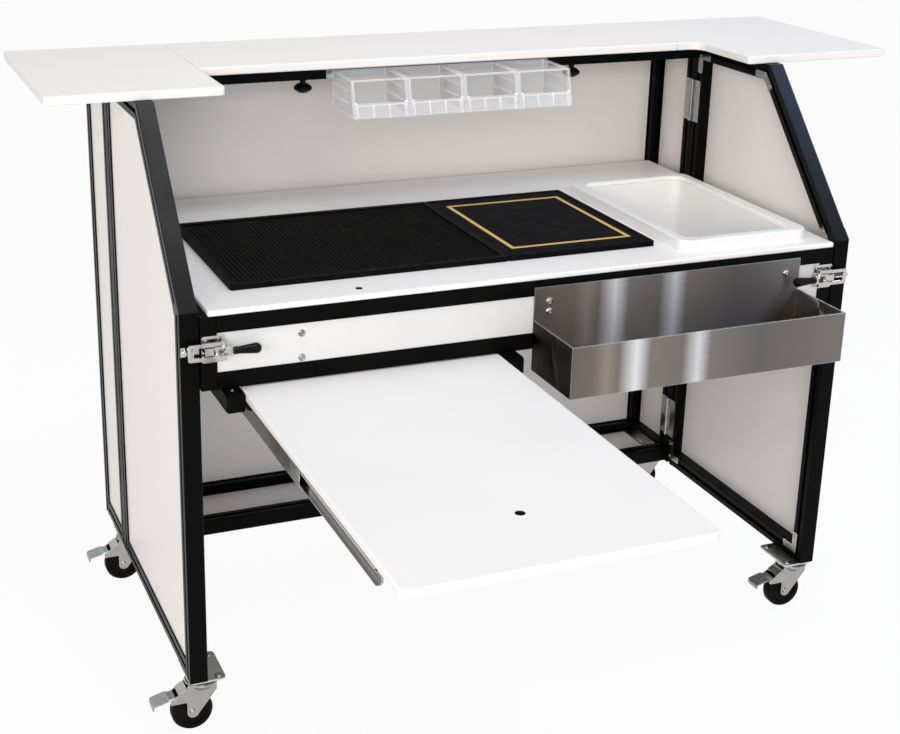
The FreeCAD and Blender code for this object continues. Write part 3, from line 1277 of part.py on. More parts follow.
def caster_wheel(x, y):
    """Hard rubber wheel with a stepped side and a hub on the axle."""
    half = WHEEL_WIDTH / 2
    hub = WHEEL_HUB_WIDTH / 2
    web = WHEEL_WEB_SINK - half
    step = WHEEL_STEP_SINK - half
    ring = [
        Vector(CASTER_AXLE_R + CASTER_AXLE_FIT, -hub, 0), Vector(WHEEL_HUB_R, -hub, 0),
        Vector(WHEEL_HUB_R, web, 0), Vector(WHEEL_WEB_R, web, 0), Vector(WHEEL_WEB_R, step, 0),
        Vector(WHEEL_STEP_R, step, 0), Vector(WHEEL_STEP_R, -half, 0),
        Vector(WHEEL_R - WHEEL_TREAD_ROUND / 2, -half, 0), Vector(WHEEL_R, WHEEL_TREAD_ROUND - half, 0),
    ]
    ring += [Vector(point.x, -point.y, 0) for point in reversed(ring)]
    wheel = turned(ring, Y_AXIS)
    wheel.translate(Vector(x - CASTER_TRAIL, y, WHEEL_R))
    return wheel


def caster_pedal(x, y):
    """Brake pedal on the fork's cross pin, its sloping tab towards -X."""
    pivot_z = WHEEL_R + PEDAL_PIVOT_RISE
    eye_half = WHEEL_HUB_WIDTH / 2
    eye = rod(Vector(-PEDAL_PIVOT_IN, -eye_half, pivot_z), Y_AXIS, PEDAL_PIVOT_R + PEDAL_EYE_WALL,
              eye_half * 2)
    low = pivot_z + PEDAL_NECK_RISE / 2
    high = low + PEDAL_SHEET
    neck = box(-PEDAL_TAB_START - PEDAL_SHEET, -eye_half, low, -PEDAL_PIVOT_IN, eye_half, high)
    fall = (PEDAL_TAB_END - PEDAL_TAB_START) * PEDAL_TAB_FALL
    end_x = -PEDAL_TAB_END
    outline = [
        (-PEDAL_TAB_START, low), (-PEDAL_TAB_START, high), (end_x, high - fall),
        (end_x - PEDAL_SHEET, low - fall), (end_x - PEDAL_SHEET, low - fall - PEDAL_CURL),
        (end_x, low - fall - PEDAL_CURL), (end_x, low - fall),
    ]
    ring = [Vector(along, -PEDAL_TAB_HALF, up) for along, up in outline]
    tab = Part.Face(Part.makePolygon(ring + [ring[0]])).extrude(Vector(0, PEDAL_TAB_HALF * 2, 0))
    tab = tab.common(plate(rectangle(end_x - PEDAL_SHEET, -PEDAL_TAB_HALF, -PEDAL_TAB_START,
                                     PEDAL_TAB_HALF, PEDAL_TAB_CORNER), 0, CASTER_HEIGHT))
    hole = rod(Vector(-PEDAL_PIVOT_IN, -CROWN_R, pivot_z), Y_AXIS, PEDAL_PIVOT_R + CASTER_AXLE_FIT,
               CROWN_R * 2)
    pedal = eye.fuse([neck, tab]).cut(hole).removeSplitter()
    pedal.translate(Vector(x, y, 0))
    return pedal


def build():
    """All sub-parts by name, each a list of solids, in the modelling frame."""
    nodes = {}
    members, joiner = wing_members()
    near_post, slope, top_rail, rear_post, bottom_rail = members
    nodes["wing_posts"] = both(near_post) + both(rear_post)
    nodes["wing_slope_rails"] = both(slope)
    nodes["wing_rails"] = both(top_rail) + both(bottom_rail)
    nodes["knee_joiners"] = both(joiner)
    nodes["wing_panels"] = both(wing_panel())
    nodes["corner_plates"] = [
        piece for index in range(len(WING)) for piece in both(corner_plate(index))]
    leaves = []
    pins = []
    for rise in (HINGE_UPPER_RISE, HINGE_LOWER_RISE):
        box_leaf, wing_leaf, pin = hinge(CASTER_HEIGHT + rise)
        leaves += both(box_leaf) + both(wing_leaf)
        pins += both(pin)
    nodes["hinge_leaves"] = leaves
    nodes["hinge_pins"] = pins
    corner, inner, rails = box_frame()
    nodes["corner_posts"] = both(corner)
    nodes["hinge_posts"] = both(inner)
    nodes["box_top_rails"] = [rails["guest_top"], rails["inner_top"]] + both(rails["return_top"])
    nodes["box_bottom_rails"] = (
        [rails["guest_bottom"], rails["inner_bottom"]] + both(rails["return_bottom"]))
    nodes["guest_panel"] = [guest_panel(0)]
    nodes["return_panels"] = both(return_panel(0))
    nodes["base_board"] = [base_board()]
    nodes["base_straps"] = both(base_strap())
    left_top, middle_top, right_top = bar_tops()
    nodes["top_left"] = [left_top]
    nodes["top_middle"] = [middle_top]
    nodes["top_right"] = [right_top]
    nodes["knob_left"] = [clamp_knob(KNOB_LEFT_X)]
    nodes["knob_right"] = [clamp_knob(KNOB_RIGHT_X)]
    upper, lower, end_posts, fascia = shelf_front()
    nodes["shelf_rails"] = [upper, lower] + end_posts
    nodes["shelf_fascia"] = [fascia]
    nodes["shelf_board"] = [shelf_board()]
    nodes["shelf_underframe"] = shelf_underframe()
    nodes["ice_bin"] = [ice_bin()]
    nodes["bar_mat"] = [bar_mat()]
    nodes["service_mat"] = [service_mat()]
    nodes["slide_tubes"] = slide_tubes()
    outer, middle, inner_slide, angles = slides()
    nodes["slide_outer_members"] = outer
    nodes["slide_middle_members"] = middle
    nodes["slide_inner_members"] = inner_slide + angles
    nodes["sliding_board"] = [sliding_board()]
    nodes["speed_rail"] = [speed_rail()]
    nodes["bin_rail"] = [bin_rail()]
    for index in range(BINS):
        nodes["storage_bin_%d" % (index + 1)] = [storage_bin(index)]
    base, handle, grip, hook, catch = latch()
    nodes["latch_bases"] = both(base)
    nodes["latch_catches"] = both(catch)
    nodes["latch_handle_left"] = [handle]
    nodes["latch_handle_right"] = [flip(handle)]
    nodes["latch_grip_left"] = [grip]
    nodes["latch_grip_right"] = [flip(grip)]
    nodes["latch_hook_left"] = [hook]
    nodes["latch_hook_right"] = [flip(hook)]
    plates = []
    for name, x, y, plate_near in caster_places():
        plates.append(caster_plate(x, y, plate_near))
        nodes["caster_fork_" + name] = [caster_fork(x, y)]
        nodes["caster_wheel_" + name] = [caster_wheel(x, y)]
        nodes["caster_pedal_" + name] = [caster_pedal(x, y)]
    nodes["caster_plates"] = plates
    return nodes


def export(nodes):
    """Write one STEP file per sub-part, with the origin under the middle of the whole bar."""
    left = -TOP_LEFT_OVERHANG
    right = FRAME_LENGTH + TOP_RIGHT_OVERHANG
    shift = Vector(-(left + right) / 2, -(SLIDING_BOARD_NEAR_Y + TOP_FAR_Y) / 2, 0)
    os.makedirs("parts", exist_ok=True)
    for name, solids in nodes.items():
        shape = solids[0] if len(solids) == 1 else Part.makeCompound(solids)
        shape = shape.copy()
        shape.translate(shift)
        shape.exportStep("parts/%s.step" % name)
    print(len(nodes), "sub-parts, origin shift", shift)


export(build())
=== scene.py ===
"""Looks of the folding portable bar on casters, in metres, in the CAD model's frame.

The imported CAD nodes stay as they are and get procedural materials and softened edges.
Small fasteners and trim are built here and ride on the CAD bodies.
"""

import json
import math

import bmesh
import bpy
from mathutils import Matrix, Vector


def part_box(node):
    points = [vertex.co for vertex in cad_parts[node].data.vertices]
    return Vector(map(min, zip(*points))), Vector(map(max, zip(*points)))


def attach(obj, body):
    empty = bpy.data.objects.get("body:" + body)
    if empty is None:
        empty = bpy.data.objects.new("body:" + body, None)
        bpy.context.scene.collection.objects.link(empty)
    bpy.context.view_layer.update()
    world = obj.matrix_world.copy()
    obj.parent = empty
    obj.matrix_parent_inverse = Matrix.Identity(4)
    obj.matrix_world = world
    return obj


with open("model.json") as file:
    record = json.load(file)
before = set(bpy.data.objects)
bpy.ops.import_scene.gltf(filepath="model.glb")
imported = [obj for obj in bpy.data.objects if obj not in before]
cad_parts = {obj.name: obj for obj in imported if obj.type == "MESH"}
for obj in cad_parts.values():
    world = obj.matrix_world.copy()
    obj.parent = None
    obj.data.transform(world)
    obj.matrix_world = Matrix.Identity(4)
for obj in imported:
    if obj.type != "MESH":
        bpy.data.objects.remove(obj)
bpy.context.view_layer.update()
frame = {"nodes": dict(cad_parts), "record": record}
nodes = frame["nodes"]

MM = 0.001

# Fine relief of the ribbed mat, in wave bands across a rib
NOTCH_WAVES = 50

# Depths of the bump nodes, in metres
GRAIN_DEPTH = 0.0002
BRUSH_DEPTH = 0.0001
SCRATCH_DEPTH = 0.00005
NOTCH_DEPTH = 0.0006

# Edges with a painted highlight on zinc and steel sheet, and milky edges with a painted glow on clear
# plastic: their reach in metres and, as the cosine between the rounded and the flat normal, where they are
# full and where they end
ZINC_EDGE = 0.0012
SHEET_EDGE = 0.0016
PLASTIC_EDGE = 0.0018
EDGE_FULL = 0.78
EDGE_NONE = 0.985
# Colours of the painted edge highlights on zinc and on steel sheet
PAINTED_ZINC_HIGHLIGHT = (0.80, 0.79, 0.77)
PAINTED_SHEET_HIGHLIGHT = (0.75, 0.74, 0.72)

# Photograph and camera
PHOTO_WIDTH = 900
PHOTO_HEIGHT = 734
SENSOR_WIDTH = 36
FOCAL_PX = 1547.3
PRINCIPAL_X = 409.0
PRINCIPAL_Y = 299.1
CAMERA_PLACE = Vector((-1.2588, -2.3253, 1.6292))
CAMERA_AZIMUTH = math.radians(22.31)
CAMERA_DROP = math.radians(18.82)
CAMERA_ROLL = math.radians(1.08)
CAMERA_REACH = 100


def new_material(name):
    """A material with its Principled shader, ready for more nodes."""
    material = bpy.data.materials.new(name)
    material.use_nodes = True
    shader = material.node_tree.nodes["Principled BSDF"]
    return material, material.node_tree, shader


def add_node(tree, kind, **settings):
    """A node with its properties and its unlinked inputs set by name."""
    node = tree.nodes.new(kind)
    for key, value in settings.items():
        if hasattr(node, key):
            setattr(node, key, value)
        else:
            node.inputs[key.replace("_", " ")].default_value = value
    return node


def object_coordinates(tree, scale=(1, 1, 1)):
    """Object coordinates, stretched along the axes."""
    coordinates = add_node(tree, "ShaderNodeTexCoord")
    mapping = add_node(tree, "ShaderNodeMapping")
    mapping.inputs["Scale"].default_value = scale
    tree.links.new(coordinates.outputs["Object"], mapping.inputs["Vector"])
    return mapping.outputs["Vector"]


def noise(tree, vector, scale, detail=4, roughness=0.5):
    """The value of a noise texture."""
    texture = add_node(tree, "ShaderNodeTexNoise", Scale=scale, Detail=detail, Roughness=roughness)
    tree.links.new(vector, texture.inputs["Vector"])
    return texture.outputs["Fac"]


def span(tree, value, low, high, start=0.3, end=0.7):
    """A value between two limits."""
    node = add_node(tree, "ShaderNodeMapRange", From_Min=start, From_Max=end, To_Min=low, To_Max=high)
    tree.links.new(value, node.inputs["Value"])
    return node.outputs["Result"]


def tint(tree, value, dark, light, start=0.3, end=0.7):
    """A colour between two colours."""
    ramp = add_node(tree, "ShaderNodeValToRGB")
    ramp.color_ramp.elements[0].position = start
    ramp.color_ramp.elements[0].color = (*dark, 1)
    ramp.color_ramp.elements[1].position = end
    ramp.color_ramp.elements[1].color = (*light, 1)
    tree.links.new(value, ramp.inputs["Fac"])
    return ramp.outputs["Color"]


def add_bump(tree, shader, height, strength, distance):
    """Surface relief from a height value."""
    bump = add_node(tree, "ShaderNodeBump", Strength=strength, Distance=distance)
    tree.links.new(height, bump.inputs["Height"])
    tree.links.new(bump.outputs["Normal"], shader.inputs["Normal"])


def edge_share(tree, radius):
    """1 along a piece's edges and 0 on its open faces."""
    rounded = add_node(tree, "ShaderNodeBevel", samples=4, Radius=radius)
    geometry = add_node(tree, "ShaderNodeNewGeometry")
    along = add_node(tree, "ShaderNodeVectorMath", operation="DOT_PRODUCT")
    tree.links.new(rounded.outputs["Normal"], along.inputs[0])
    tree.links.new(geometry.outputs["Normal"], along.inputs[1])
    return span(tree, along.outputs["Value"], 1, 0, EDGE_FULL, EDGE_NONE)


def blend_colours(tree, share, first, second):
    """The first colour, turning into the second one where the share is 1."""
    mix = add_node(tree, "ShaderNodeMix", data_type="RGBA")
    tree.links.new(share, mix.inputs["Factor"])
    tree.links.new(first, mix.inputs["A"])
    mix.inputs["B"].default_value = (*second, 1)
    return mix.outputs["Result"]


def black_profile_material(name, level):
    """Satin black anodised profile."""
    material, tree, shader = new_material(name)
    vector = object_coordinates(tree)
    mottle = noise(tree, vector, 9)
    grain = noise(tree, vector, 1400, detail=2)
    tree.links.new(tint(tree, mottle, (0.0020, 0.0018, 0.0017), (0.0034, 0.0031, 0.0030)),
                   shader.inputs["Base Color"])
    tree.links.new(span(tree, mottle, 0.28, 0.36), shader.inputs["Roughness"])
    shader.inputs["Specular IOR Level"].default_value = level
    add_bump(tree, shader, grain, 0.10, GRAIN_DEPTH)
    return material


def panel_material():
    """White coated panel with a faint mottle."""
    material, tree, shader = new_material("white_panel")
    vector = object_coordinates(tree)
    mottle = noise(tree, vector, 3)
    grain = noise(tree, vector, 260, detail=3)
    tree.links.new(tint(tree, mottle, (0.87, 0.825, 0.805), (0.90, 0.86, 0.84)),
                   shader.inputs["Base Color"])
    tree.links.new(span(tree, mottle, 0.30, 0.40), shader.inputs["Roughness"])
    add_bump(tree, shader, grain, 0.05, GRAIN_DEPTH)
    return material


def board_material(name, dark, light):
    """White board with a fine pebbled face."""
    material, tree, shader = new_material(name)
    vector = object_coordinates(tree)
    mottle = noise(tree, vector, 4)
    pebble = noise(tree, vector, 900, detail=3)
    tree.links.new(tint(tree, mottle, dark, light), shader.inputs["Base Color"])
    tree.links.new(span(tree, pebble, 0.36, 0.50), shader.inputs["Roughness"])
    add_bump(tree, shader, pebble, 0.10, GRAIN_DEPTH)
    return material


def ice_bin_material():
    """Moulded white polyethylene, slightly waxy."""
    material, tree, shader = new_material("moulded_white")
    vector = object_coordinates(tree)
    mottle = noise(tree, vector, 6)
    grain = noise(tree, vector, 500, detail=3)
    tree.links.new(tint(tree, mottle, (0.86, 0.85, 0.83), (0.90, 0.89, 0.87)),
                   shader.inputs["Base Color"])
    tree.links.new(span(tree, mottle, 0.26, 0.36), shader.inputs["Roughness"])
    add_bump(tree, shader, grain, 0.04, GRAIN_DEPTH)
    return material


def zinc_material(name, dark, light, roughness=0.20):
    """Bright zinc plate with faint clouding, light scratches and a painted highlight along its edges."""
    material, tree, shader = new_material(name)
    vector = object_coordinates(tree)
    cloud = noise(tree, vector, 60, detail=3)
    scratch = noise(tree, object_coordinates(tree, (120, 2200, 2200)), 1, detail=3)
    face = tint(tree, cloud, dark, light)
    # Painted highlight: the edges are blended to a pale colour
    tree.links.new(blend_colours(tree, edge_share(tree, ZINC_EDGE), face, PAINTED_ZINC_HIGHLIGHT),
                   shader.inputs["Base Color"])
    shader.inputs["Metallic"].default_value = 1
    tree.links.new(span(tree, cloud, roughness - 0.03, roughness + 0.04), shader.inputs["Roughness"])
    add_bump(tree, shader, scratch, 0.04, SCRATCH_DEPTH)
    return material


# Painted reflection bands across the brushed sheet, light and dark, whose dark start is painted shade on
# the end faces: place between the two limits that follow, colour
PAINTED_REFLECTION_BANDS = (
    (0.0, (0.030, 0.026, 0.022)), (0.015, (0.17, 0.150, 0.140)), (0.16, (0.23, 0.195, 0.175)),
    (0.205, (0.36, 0.325, 0.30)), (0.245, (0.25, 0.215, 0.195)), (0.305, (0.95, 0.95, 0.99)),
    (0.352, (0.28, 0.250, 0.235)), (0.465, (0.24, 0.215, 0.200)), (0.52, (0.82, 0.82, 0.86)),
    (0.562, (0.27, 0.240, 0.222)), (0.74, (0.18, 0.163, 0.155)), (1.0, (0.23, 0.202, 0.185)),
)
REFLECTION_BANDS_FROM = -0.08
REFLECTION_BANDS_TO = 0.50

# Shift of the painted reflection bands per metre to the rear, for a face turned to +X, and from one brush
# line to the next; faces turned to -X are pushed to the dark start, which paints shade on them
REFLECTION_BANDS_SLANT = -0.25
REFLECTION_BANDS_TURN = 0.2
REFLECTION_BANDS_RAGGED = 0.003


def multiply_add(tree, value, factor, base):
    """A value times a factor, added to a base."""
    node = add_node(tree, "ShaderNodeMath", operation="MULTIPLY_ADD")
    node.inputs[1].default_value = factor
    tree.links.new(value, node.inputs[0])
    tree.links.new(base, node.inputs[2])
    return node.outputs["Value"]


def painted_reflection_bands(tree, brush):
    """Painted reflection bands and painted shade on the sheet along its length, set over where it stands
    forward or faces sideways.
    """
    axes = add_node(tree, "ShaderNodeSeparateXYZ")
    tree.links.new(object_coordinates(tree), axes.inputs["Vector"])
    slanted = multiply_add(tree, axes.outputs["Y"], REFLECTION_BANDS_SLANT, axes.outputs["X"])
    facing = add_node(tree, "ShaderNodeSeparateXYZ")
    tree.links.new(add_node(tree, "ShaderNodeNewGeometry").outputs["Normal"], facing.inputs["Vector"])
    turned = multiply_add(tree, facing.outputs["X"], REFLECTION_BANDS_TURN, slanted)
    ragged = add_node(tree, "ShaderNodeMath", operation="ADD")
    tree.links.new(turned, ragged.inputs[0])
    tree.links.new(span(tree, brush, -REFLECTION_BANDS_RAGGED, REFLECTION_BANDS_RAGGED), ragged.inputs[1])
    ramp = add_node(tree, "ShaderNodeValToRGB")
    stops = ramp.color_ramp.elements
    for stop, (place, colour) in zip(stops, (PAINTED_REFLECTION_BANDS[0], PAINTED_REFLECTION_BANDS[-1])):
        stop.position = place
        stop.color = (*colour, 1)
    for place, colour in PAINTED_REFLECTION_BANDS[1:-1]:
        stops.new(place).color = (*colour, 1)
    tree.links.new(span(tree, ragged.outputs["Value"], 0, 1, REFLECTION_BANDS_FROM, REFLECTION_BANDS_TO), ramp.inputs["Fac"])
    return ramp.outputs["Color"]


def stainless_material():
    """Sheet steel brushed along the bar, with painted reflection bands and a painted highlight along its
    edges.
    """
    material, tree, shader = new_material("brushed_stainless")
    brush = noise(tree, object_coordinates(tree, (14, 1300, 1300)), 1, detail=4, roughness=0.6)
    # Painted reflection bands on the faces, and a painted highlight blended in along the edges
    face = painted_reflection_bands(tree, brush)
    tree.links.new(blend_colours(tree, edge_share(tree, SHEET_EDGE), face, PAINTED_SHEET_HIGHLIGHT),
                   shader.inputs["Base Color"])
    shader.inputs["Metallic"].default_value = 1
    tree.links.new(span(tree, brush, 0.38, 0.46), shader.inputs["Roughness"])
    shader.inputs["Anisotropic"].default_value = 1.0
    tangent = add_node(tree, "ShaderNodeTangent", direction_type="RADIAL", axis="X")
    tree.links.new(tangent.outputs["Tangent"], shader.inputs["Tangent"])
    add_bump(tree, shader, brush, 0.10, BRUSH_DEPTH)
    return material


def rubber_material(name, dark, light, roughness):
    """Matt black rubber with a fine tooth."""
    material, tree, shader = new_material(name)
    vector = object_coordinates(tree)
    mottle = noise(tree, vector, 30)
    tooth = noise(tree, vector, 1800, detail=2)
    tree.links.new(tint(tree, mottle, dark, light), shader.inputs["Base Color"])
    tree.links.new(span(tree, mottle, roughness - 0.06, roughness + 0.06), shader.inputs["Roughness"])
    shader.inputs["Specular IOR Level"].default_value = 0.02
    add_bump(tree, shader, tooth, 0.2, GRAIN_DEPTH)
    return material


def clear_material(name, thin, edge):
    """Clarified plastic: see-through on its faces and milky along its edges, where a painted glow also
    brightens it.
    """
    material, tree, shader = new_material(name)
    rim = edge_share(tree, PLASTIC_EDGE)
    tree.links.new(span(tree, rim, thin, edge, 0, 1), shader.inputs["Alpha"])
    # Painted glow: the edges emit a little light of their own
    tree.links.new(span(tree, rim, 0.0, 0.20, 0, 1), shader.inputs["Emission Strength"])
    shader.inputs["Emission Color"].default_value = (0.97, 0.97, 1.0, 1)
    cloud = noise(tree, object_coordinates(tree), 20)
    tree.links.new(tint(tree, cloud, (0.90, 0.90, 0.92), (0.94, 0.94, 0.95)), shader.inputs["Base Color"])
    tree.links.new(span(tree, cloud, 0.16, 0.26), shader.inputs["Roughness"])
    return material


def ribbed_mat_material():
    """Black rubber whose ribs carry fine cross notches."""
    material, tree, shader = new_material("bar_mat_rubber")
    vector = object_coordinates(tree)
    mottle = noise(tree, vector, 30)
    notch = add_node(tree, "ShaderNodeTexWave", Scale=NOTCH_WAVES, bands_direction="Y")
    tree.links.new(vector, notch.inputs["Vector"])
    tree.links.new(tint(tree, mottle, (0.0035, 0.0035, 0.0035), (0.007, 0.007, 0.007)),
                   shader.inputs["Base Color"])
    tree.links.new(span(tree, mottle, 0.42, 0.55), shader.inputs["Roughness"])
    shader.inputs["Specular IOR Level"].default_value = 0.02
    add_bump(tree, shader, notch.outputs["Fac"], 0.5, NOTCH_DEPTH)
    return material


def printed_line_material():
    """Plain gold print on the flat mat, worn a little thin."""
    material, tree, shader = new_material("gold_print")
    wear = noise(tree, object_coordinates(tree), 220)
    tree.links.new(tint(tree, wear, (0.68, 0.43, 0.11), (0.80, 0.54, 0.17)), shader.inputs["Base Color"])
    tree.links.new(span(tree, wear, 0.40, 0.55), shader.inputs["Roughness"])
    return material


def black_plastic_material():
    """Glossy moulded black plastic."""
    material, tree, shader = new_material("black_plastic")
    vector = object_coordinates(tree)
    mottle = noise(tree, vector, 60)
    tree.links.new(tint(tree, mottle, (0.003, 0.003, 0.003), (0.006, 0.006, 0.006)),
                   shader.inputs["Base Color"])
    tree.links.new(span(tree, mottle, 0.12, 0.18), shader.inputs["Roughness"])
    shader.inputs["Specular IOR Level"].default_value = 0.10
    return material


MATERIALS = {
    "frame_black": black_profile_material("satin_black_profile", 0.045),
    "panel_white": panel_material(),
    "board_white": board_material("white_board", (0.90, 0.885, 0.87), (0.93, 0.915, 0.90)),
    "bin_white": ice_bin_material(),
    "zinc_steel": zinc_material("zinc_plate", (0.36, 0.352, 0.34), (0.42, 0.412, 0.40)),
    "stainless": stainless_material(),
    "mat_rubber": rubber_material("mat_rubber", (0.0035, 0.0035, 0.0045), (0.006, 0.006, 0.0075), 0.55),
    "wheel_rubber": rubber_material("wheel_rubber", (0.006, 0.006, 0.006), (0.012, 0.0115, 0.011), 0.42),
    "clear_plastic": clear_material("clear_plastic", 0.22, 0.88),
    "rail_white": clear_material("pale_plastic", 0.30, 0.85),
    "black_plastic": black_plastic_material(),
}

# Materials of single nodes and of small pieces
SCREW_STEEL = zinc_material("screw_steel", (0.20, 0.20, 0.205), (0.34, 0.34, 0.34))
TOP_BOARD = board_material("bar_top_board", (0.88, 0.845, 0.815), (0.905, 0.87, 0.84))
SLOPE_BLACK = black_profile_material("satin_black_slope", 0.11)
LATCH_STEEL = zinc_material("latch_plate", (0.50, 0.495, 0.485), (0.58, 0.575, 0.565), 0.12)
PLATE_STEEL = zinc_material("caster_plate", (0.56, 0.60, 0.60), (0.64, 0.68, 0.68), 0.34)
PEDAL_STEEL = zinc_material("pedal_plate", (0.24, 0.262, 0.262), (0.30, 0.322, 0.322), 0.24)
NODE_MATERIALS = {
    "bar_mat": ribbed_mat_material(),
    "caster_plates": PLATE_STEEL,
    "knee_joiners": SLOPE_BLACK,
    # The fascia board is darker than the other white boards: painted shade
    "shelf_fascia": board_material("fascia_board_painted_shade", (0.735, 0.720, 0.700), (0.765, 0.750, 0.730)),
    "top_left": TOP_BOARD,
    "top_middle": TOP_BOARD,
    "top_right": TOP_BOARD,
    "wing_slope_rails": SLOPE_BLACK,
}
for subpart in frame["record"]["subparts"]:
    if subpart["node"].startswith("latch_") and subpart["material_slot"] == "zinc_steel":
        NODE_MATERIALS[subpart["node"]] = LATCH_STEEL
    if subpart["node"].startswith("caster_pedal_"):
        NODE_MATERIALS[subpart["node"]] = PEDAL_STEEL

# Softened edges of the CAD nodes, by slot
EDGE_WIDTHS = {
    "frame_black": 0.0006,
    "panel_white": 0.0003,
    "zinc_steel": 0.0003,
    "stainless": 0.0003,
    "mat_rubber": 0.0008,
    "black_plastic": 0.0003,
}
EDGE_SEGMENTS = 2
EDGE_ANGLE = math.radians(40)


def dress_nodes():
    """Give every CAD node its material and a small bevel where its slot asks for one."""
    for entry in frame["record"]["subparts"]:
        piece = nodes[entry["node"]]
        slot = entry["material_slot"]
        piece.material_slots[0].material = NODE_MATERIALS.get(entry["node"], MATERIALS[slot])
        if slot in EDGE_WIDTHS:
            bevel = piece.modifiers.new("edges", "BEVEL")
            bevel.width = EDGE_WIDTHS[slot]
            bevel.segments = EDGE_SEGMENTS
            bevel.limit_method = "ANGLE"
            bevel.angle_limit = EDGE_ANGLE


# Fasteners and trim, in scene millimetres; what stands on the left wing is mirrored to the right one
MIRROR_X = -110
RIVETS_LEFT = (
    (11.5, 129), (41.5, 129), (11.5, 159), (470.5, 129), (500.5, 129), (500.5, 159), (11.5, 760.5),
    (11.5, 786.2), (28.7, 805.3), (245.3, 1045.6), (262.7, 1065), (288.9, 1065), (470.5, 1065),
    (500.5, 1065), (500.5, 1035),
)
HINGE_SCREW_Y = (505.5, 541.5)
HINGE_SCREW_Z = (185, 255, 930, 1000)
PLATE_SCREWS = ((-655, 1.5), (-655, 73.5), (-655, 564.5), (-655, 636.5))
PLATE_BOLTS = ((-655, 1.5), (-655, 73.5), (-699, 73.5), (-699, 564.5), (-655, 636.5), (-699, 636.5))
FASCIA_SCREWS = ((-501, 737.5), (-501, 694), (391, 737.5), (391, 694))
RAIL_SCREW_PAN = (-40, 744)
RAIL_SCREWS_BUTTON = ((-40, 725), (460, 744))
LATCH_SCREWS = ((-668, 746), (-668, 712), (-638.5, 746), (-638.5, 712))
TUBE_SCREW = (-627, -24, 656)

# Faces that the fasteners sit on: x on the left wing's inner side, y of the fronts, z of the caster plates
WING_FACE_X = -676
FASCIA_FACE_Y = -9.5
RAIL_FACE_Y = -13.1
LATCH_FACE_Y = -13.5
PLATE_UNDERSIDE_Z = 102.5
PLATE_TOP_Z = 106

# Trim of the holes and the flat mat's line
PIN_HOLE = (-388, 22.5, 794)
BOARD_HOLE = (-371.5, -585.5, 641)
BORDER_IN_X = 26
BORDER_IN_Y = 44
BORDER_WIDTH = 8
BORDER_FIELD_Z = 802.8
BORDER_HEIGHT = 0.25


def head_form(radius, height, crown, recess=None, depth=0.0, rings=12, segments=40):
    """A domed fastener head about +Z, with its drive pressed in."""
    points = [(0.0, 0.0, height - (depth if recess else 0))]
    for ring in range(1, rings + 1):
        share = ring / rings
        for segment in range(segments):
            angle = 2 * math.pi * segment / segments
            x = radius * share * math.cos(angle)
            y = radius * share * math.sin(angle)
            z = height * (1 - share ** crown) ** (1 / crown)
            if recess and recess(x, y):
                z = min(z, height) - depth
            points.append((x, y, max(z, 0)))
    faces = []
    for segment in range(segments):
        following = (segment + 1) % segments
        faces.append((0, 1 + segment, 1 + following))
        for ring in range(rings - 1):
            inner = 1 + ring * segments
            outer = inner + segments
            faces.append((inner + segment, outer + segment, outer + following, inner + following))
    last = 1 + (rings - 1) * segments
    faces.append(tuple(last + segment for segment in reversed(range(segments))))
    return points, faces


def cross_recess(length, width):
    """Test for a cross-head drive."""
    return lambda x, y: min(abs(x), abs(y)) < width / 2 and max(abs(x), abs(y)) < length / 2


def hexagon_recess(across):
    """Test for a hexagon socket drive."""
    turns = [math.pi * side / 3 for side in range(3)]
    return lambda x, y: max(abs(x * math.cos(turn) + y * math.sin(turn)) for turn in turns) < across / 2


def turned_form(profile, segments=32):
    """A closed ring of (radius, height) points turned about +Z."""
    points = []
    for segment in range(segments):
        angle = 2 * math.pi * segment / segments
        points += [(radius * math.cos(angle), radius * math.sin(angle), height)
                   for radius, height in profile]
    count = len(profile)
    faces = []
    for segment in range(segments):
        following = (segment + 1) % segments
        for index in range(count):
            after = (index + 1) % count
            faces.append((segment * count + index, following * count + index,
                          following * count + after, segment * count + after))
    return points, faces


def hexagon_form(radius, height):
    """A hexagon bolt head with a chamfered rim."""
    levels = ((radius, 0), (radius, height * 0.8), (radius * 0.88, height))
    points = []
    for level_radius, z in levels:
        for corner in range(6):
            angle = math.pi * corner / 3
            points.append((level_radius * math.cos(angle), level_radius * math.sin(angle), z))
    faces = [tuple(reversed(range(6))), tuple(range(12, 18))]
    for level in (0, 6):
        for corner in range(6):
            after = (corner + 1) % 6
            faces.append((level + corner, level + after, level + 6 + after, level + 6 + corner))
    return points, faces


def add_piece(name, forms, body, material, smooth=True):
    """One mesh from forms, each with its (place, outward direction, turn) spots in millimetres."""
    bm = bmesh.new()
    for (points, faces), spots in forms:
        for place, outward, turn in spots:
            facing = Vector((0, 0, 1)).rotation_difference(Vector(outward)).to_matrix().to_4x4()
            matrix = Matrix.Translation(place) @ facing @ Matrix.Rotation(turn, 4, "Z")
            verts = [bm.verts.new(matrix @ Vector(point) * MM) for point in points]
            for face in faces:
                bm.faces.new([verts[index] for index in face])
    bmesh.ops.recalc_face_normals(bm, faces=bm.faces)
    data = bpy.data.meshes.new(name)
    bm.to_mesh(data)
    bm.free()
    if smooth:
        data.polygons.foreach_set("use_smooth", [True] * len(data.polygons))
    piece = bpy.data.objects.new(name, data)
    bpy.context.collection.objects.link(piece)
    data.materials.append(material)
    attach(piece, body)
    return piece


def mirrored(spots):
    """Spots on the left wing and their mirror images on the right one."""
    both = []
    for (x, y, z), outward, turn in spots:
        both.append(((x, y, z), outward, turn))
        both.append(((MIRROR_X - x, y, z), (-outward[0], outward[1], outward[2]), -turn))
    return both


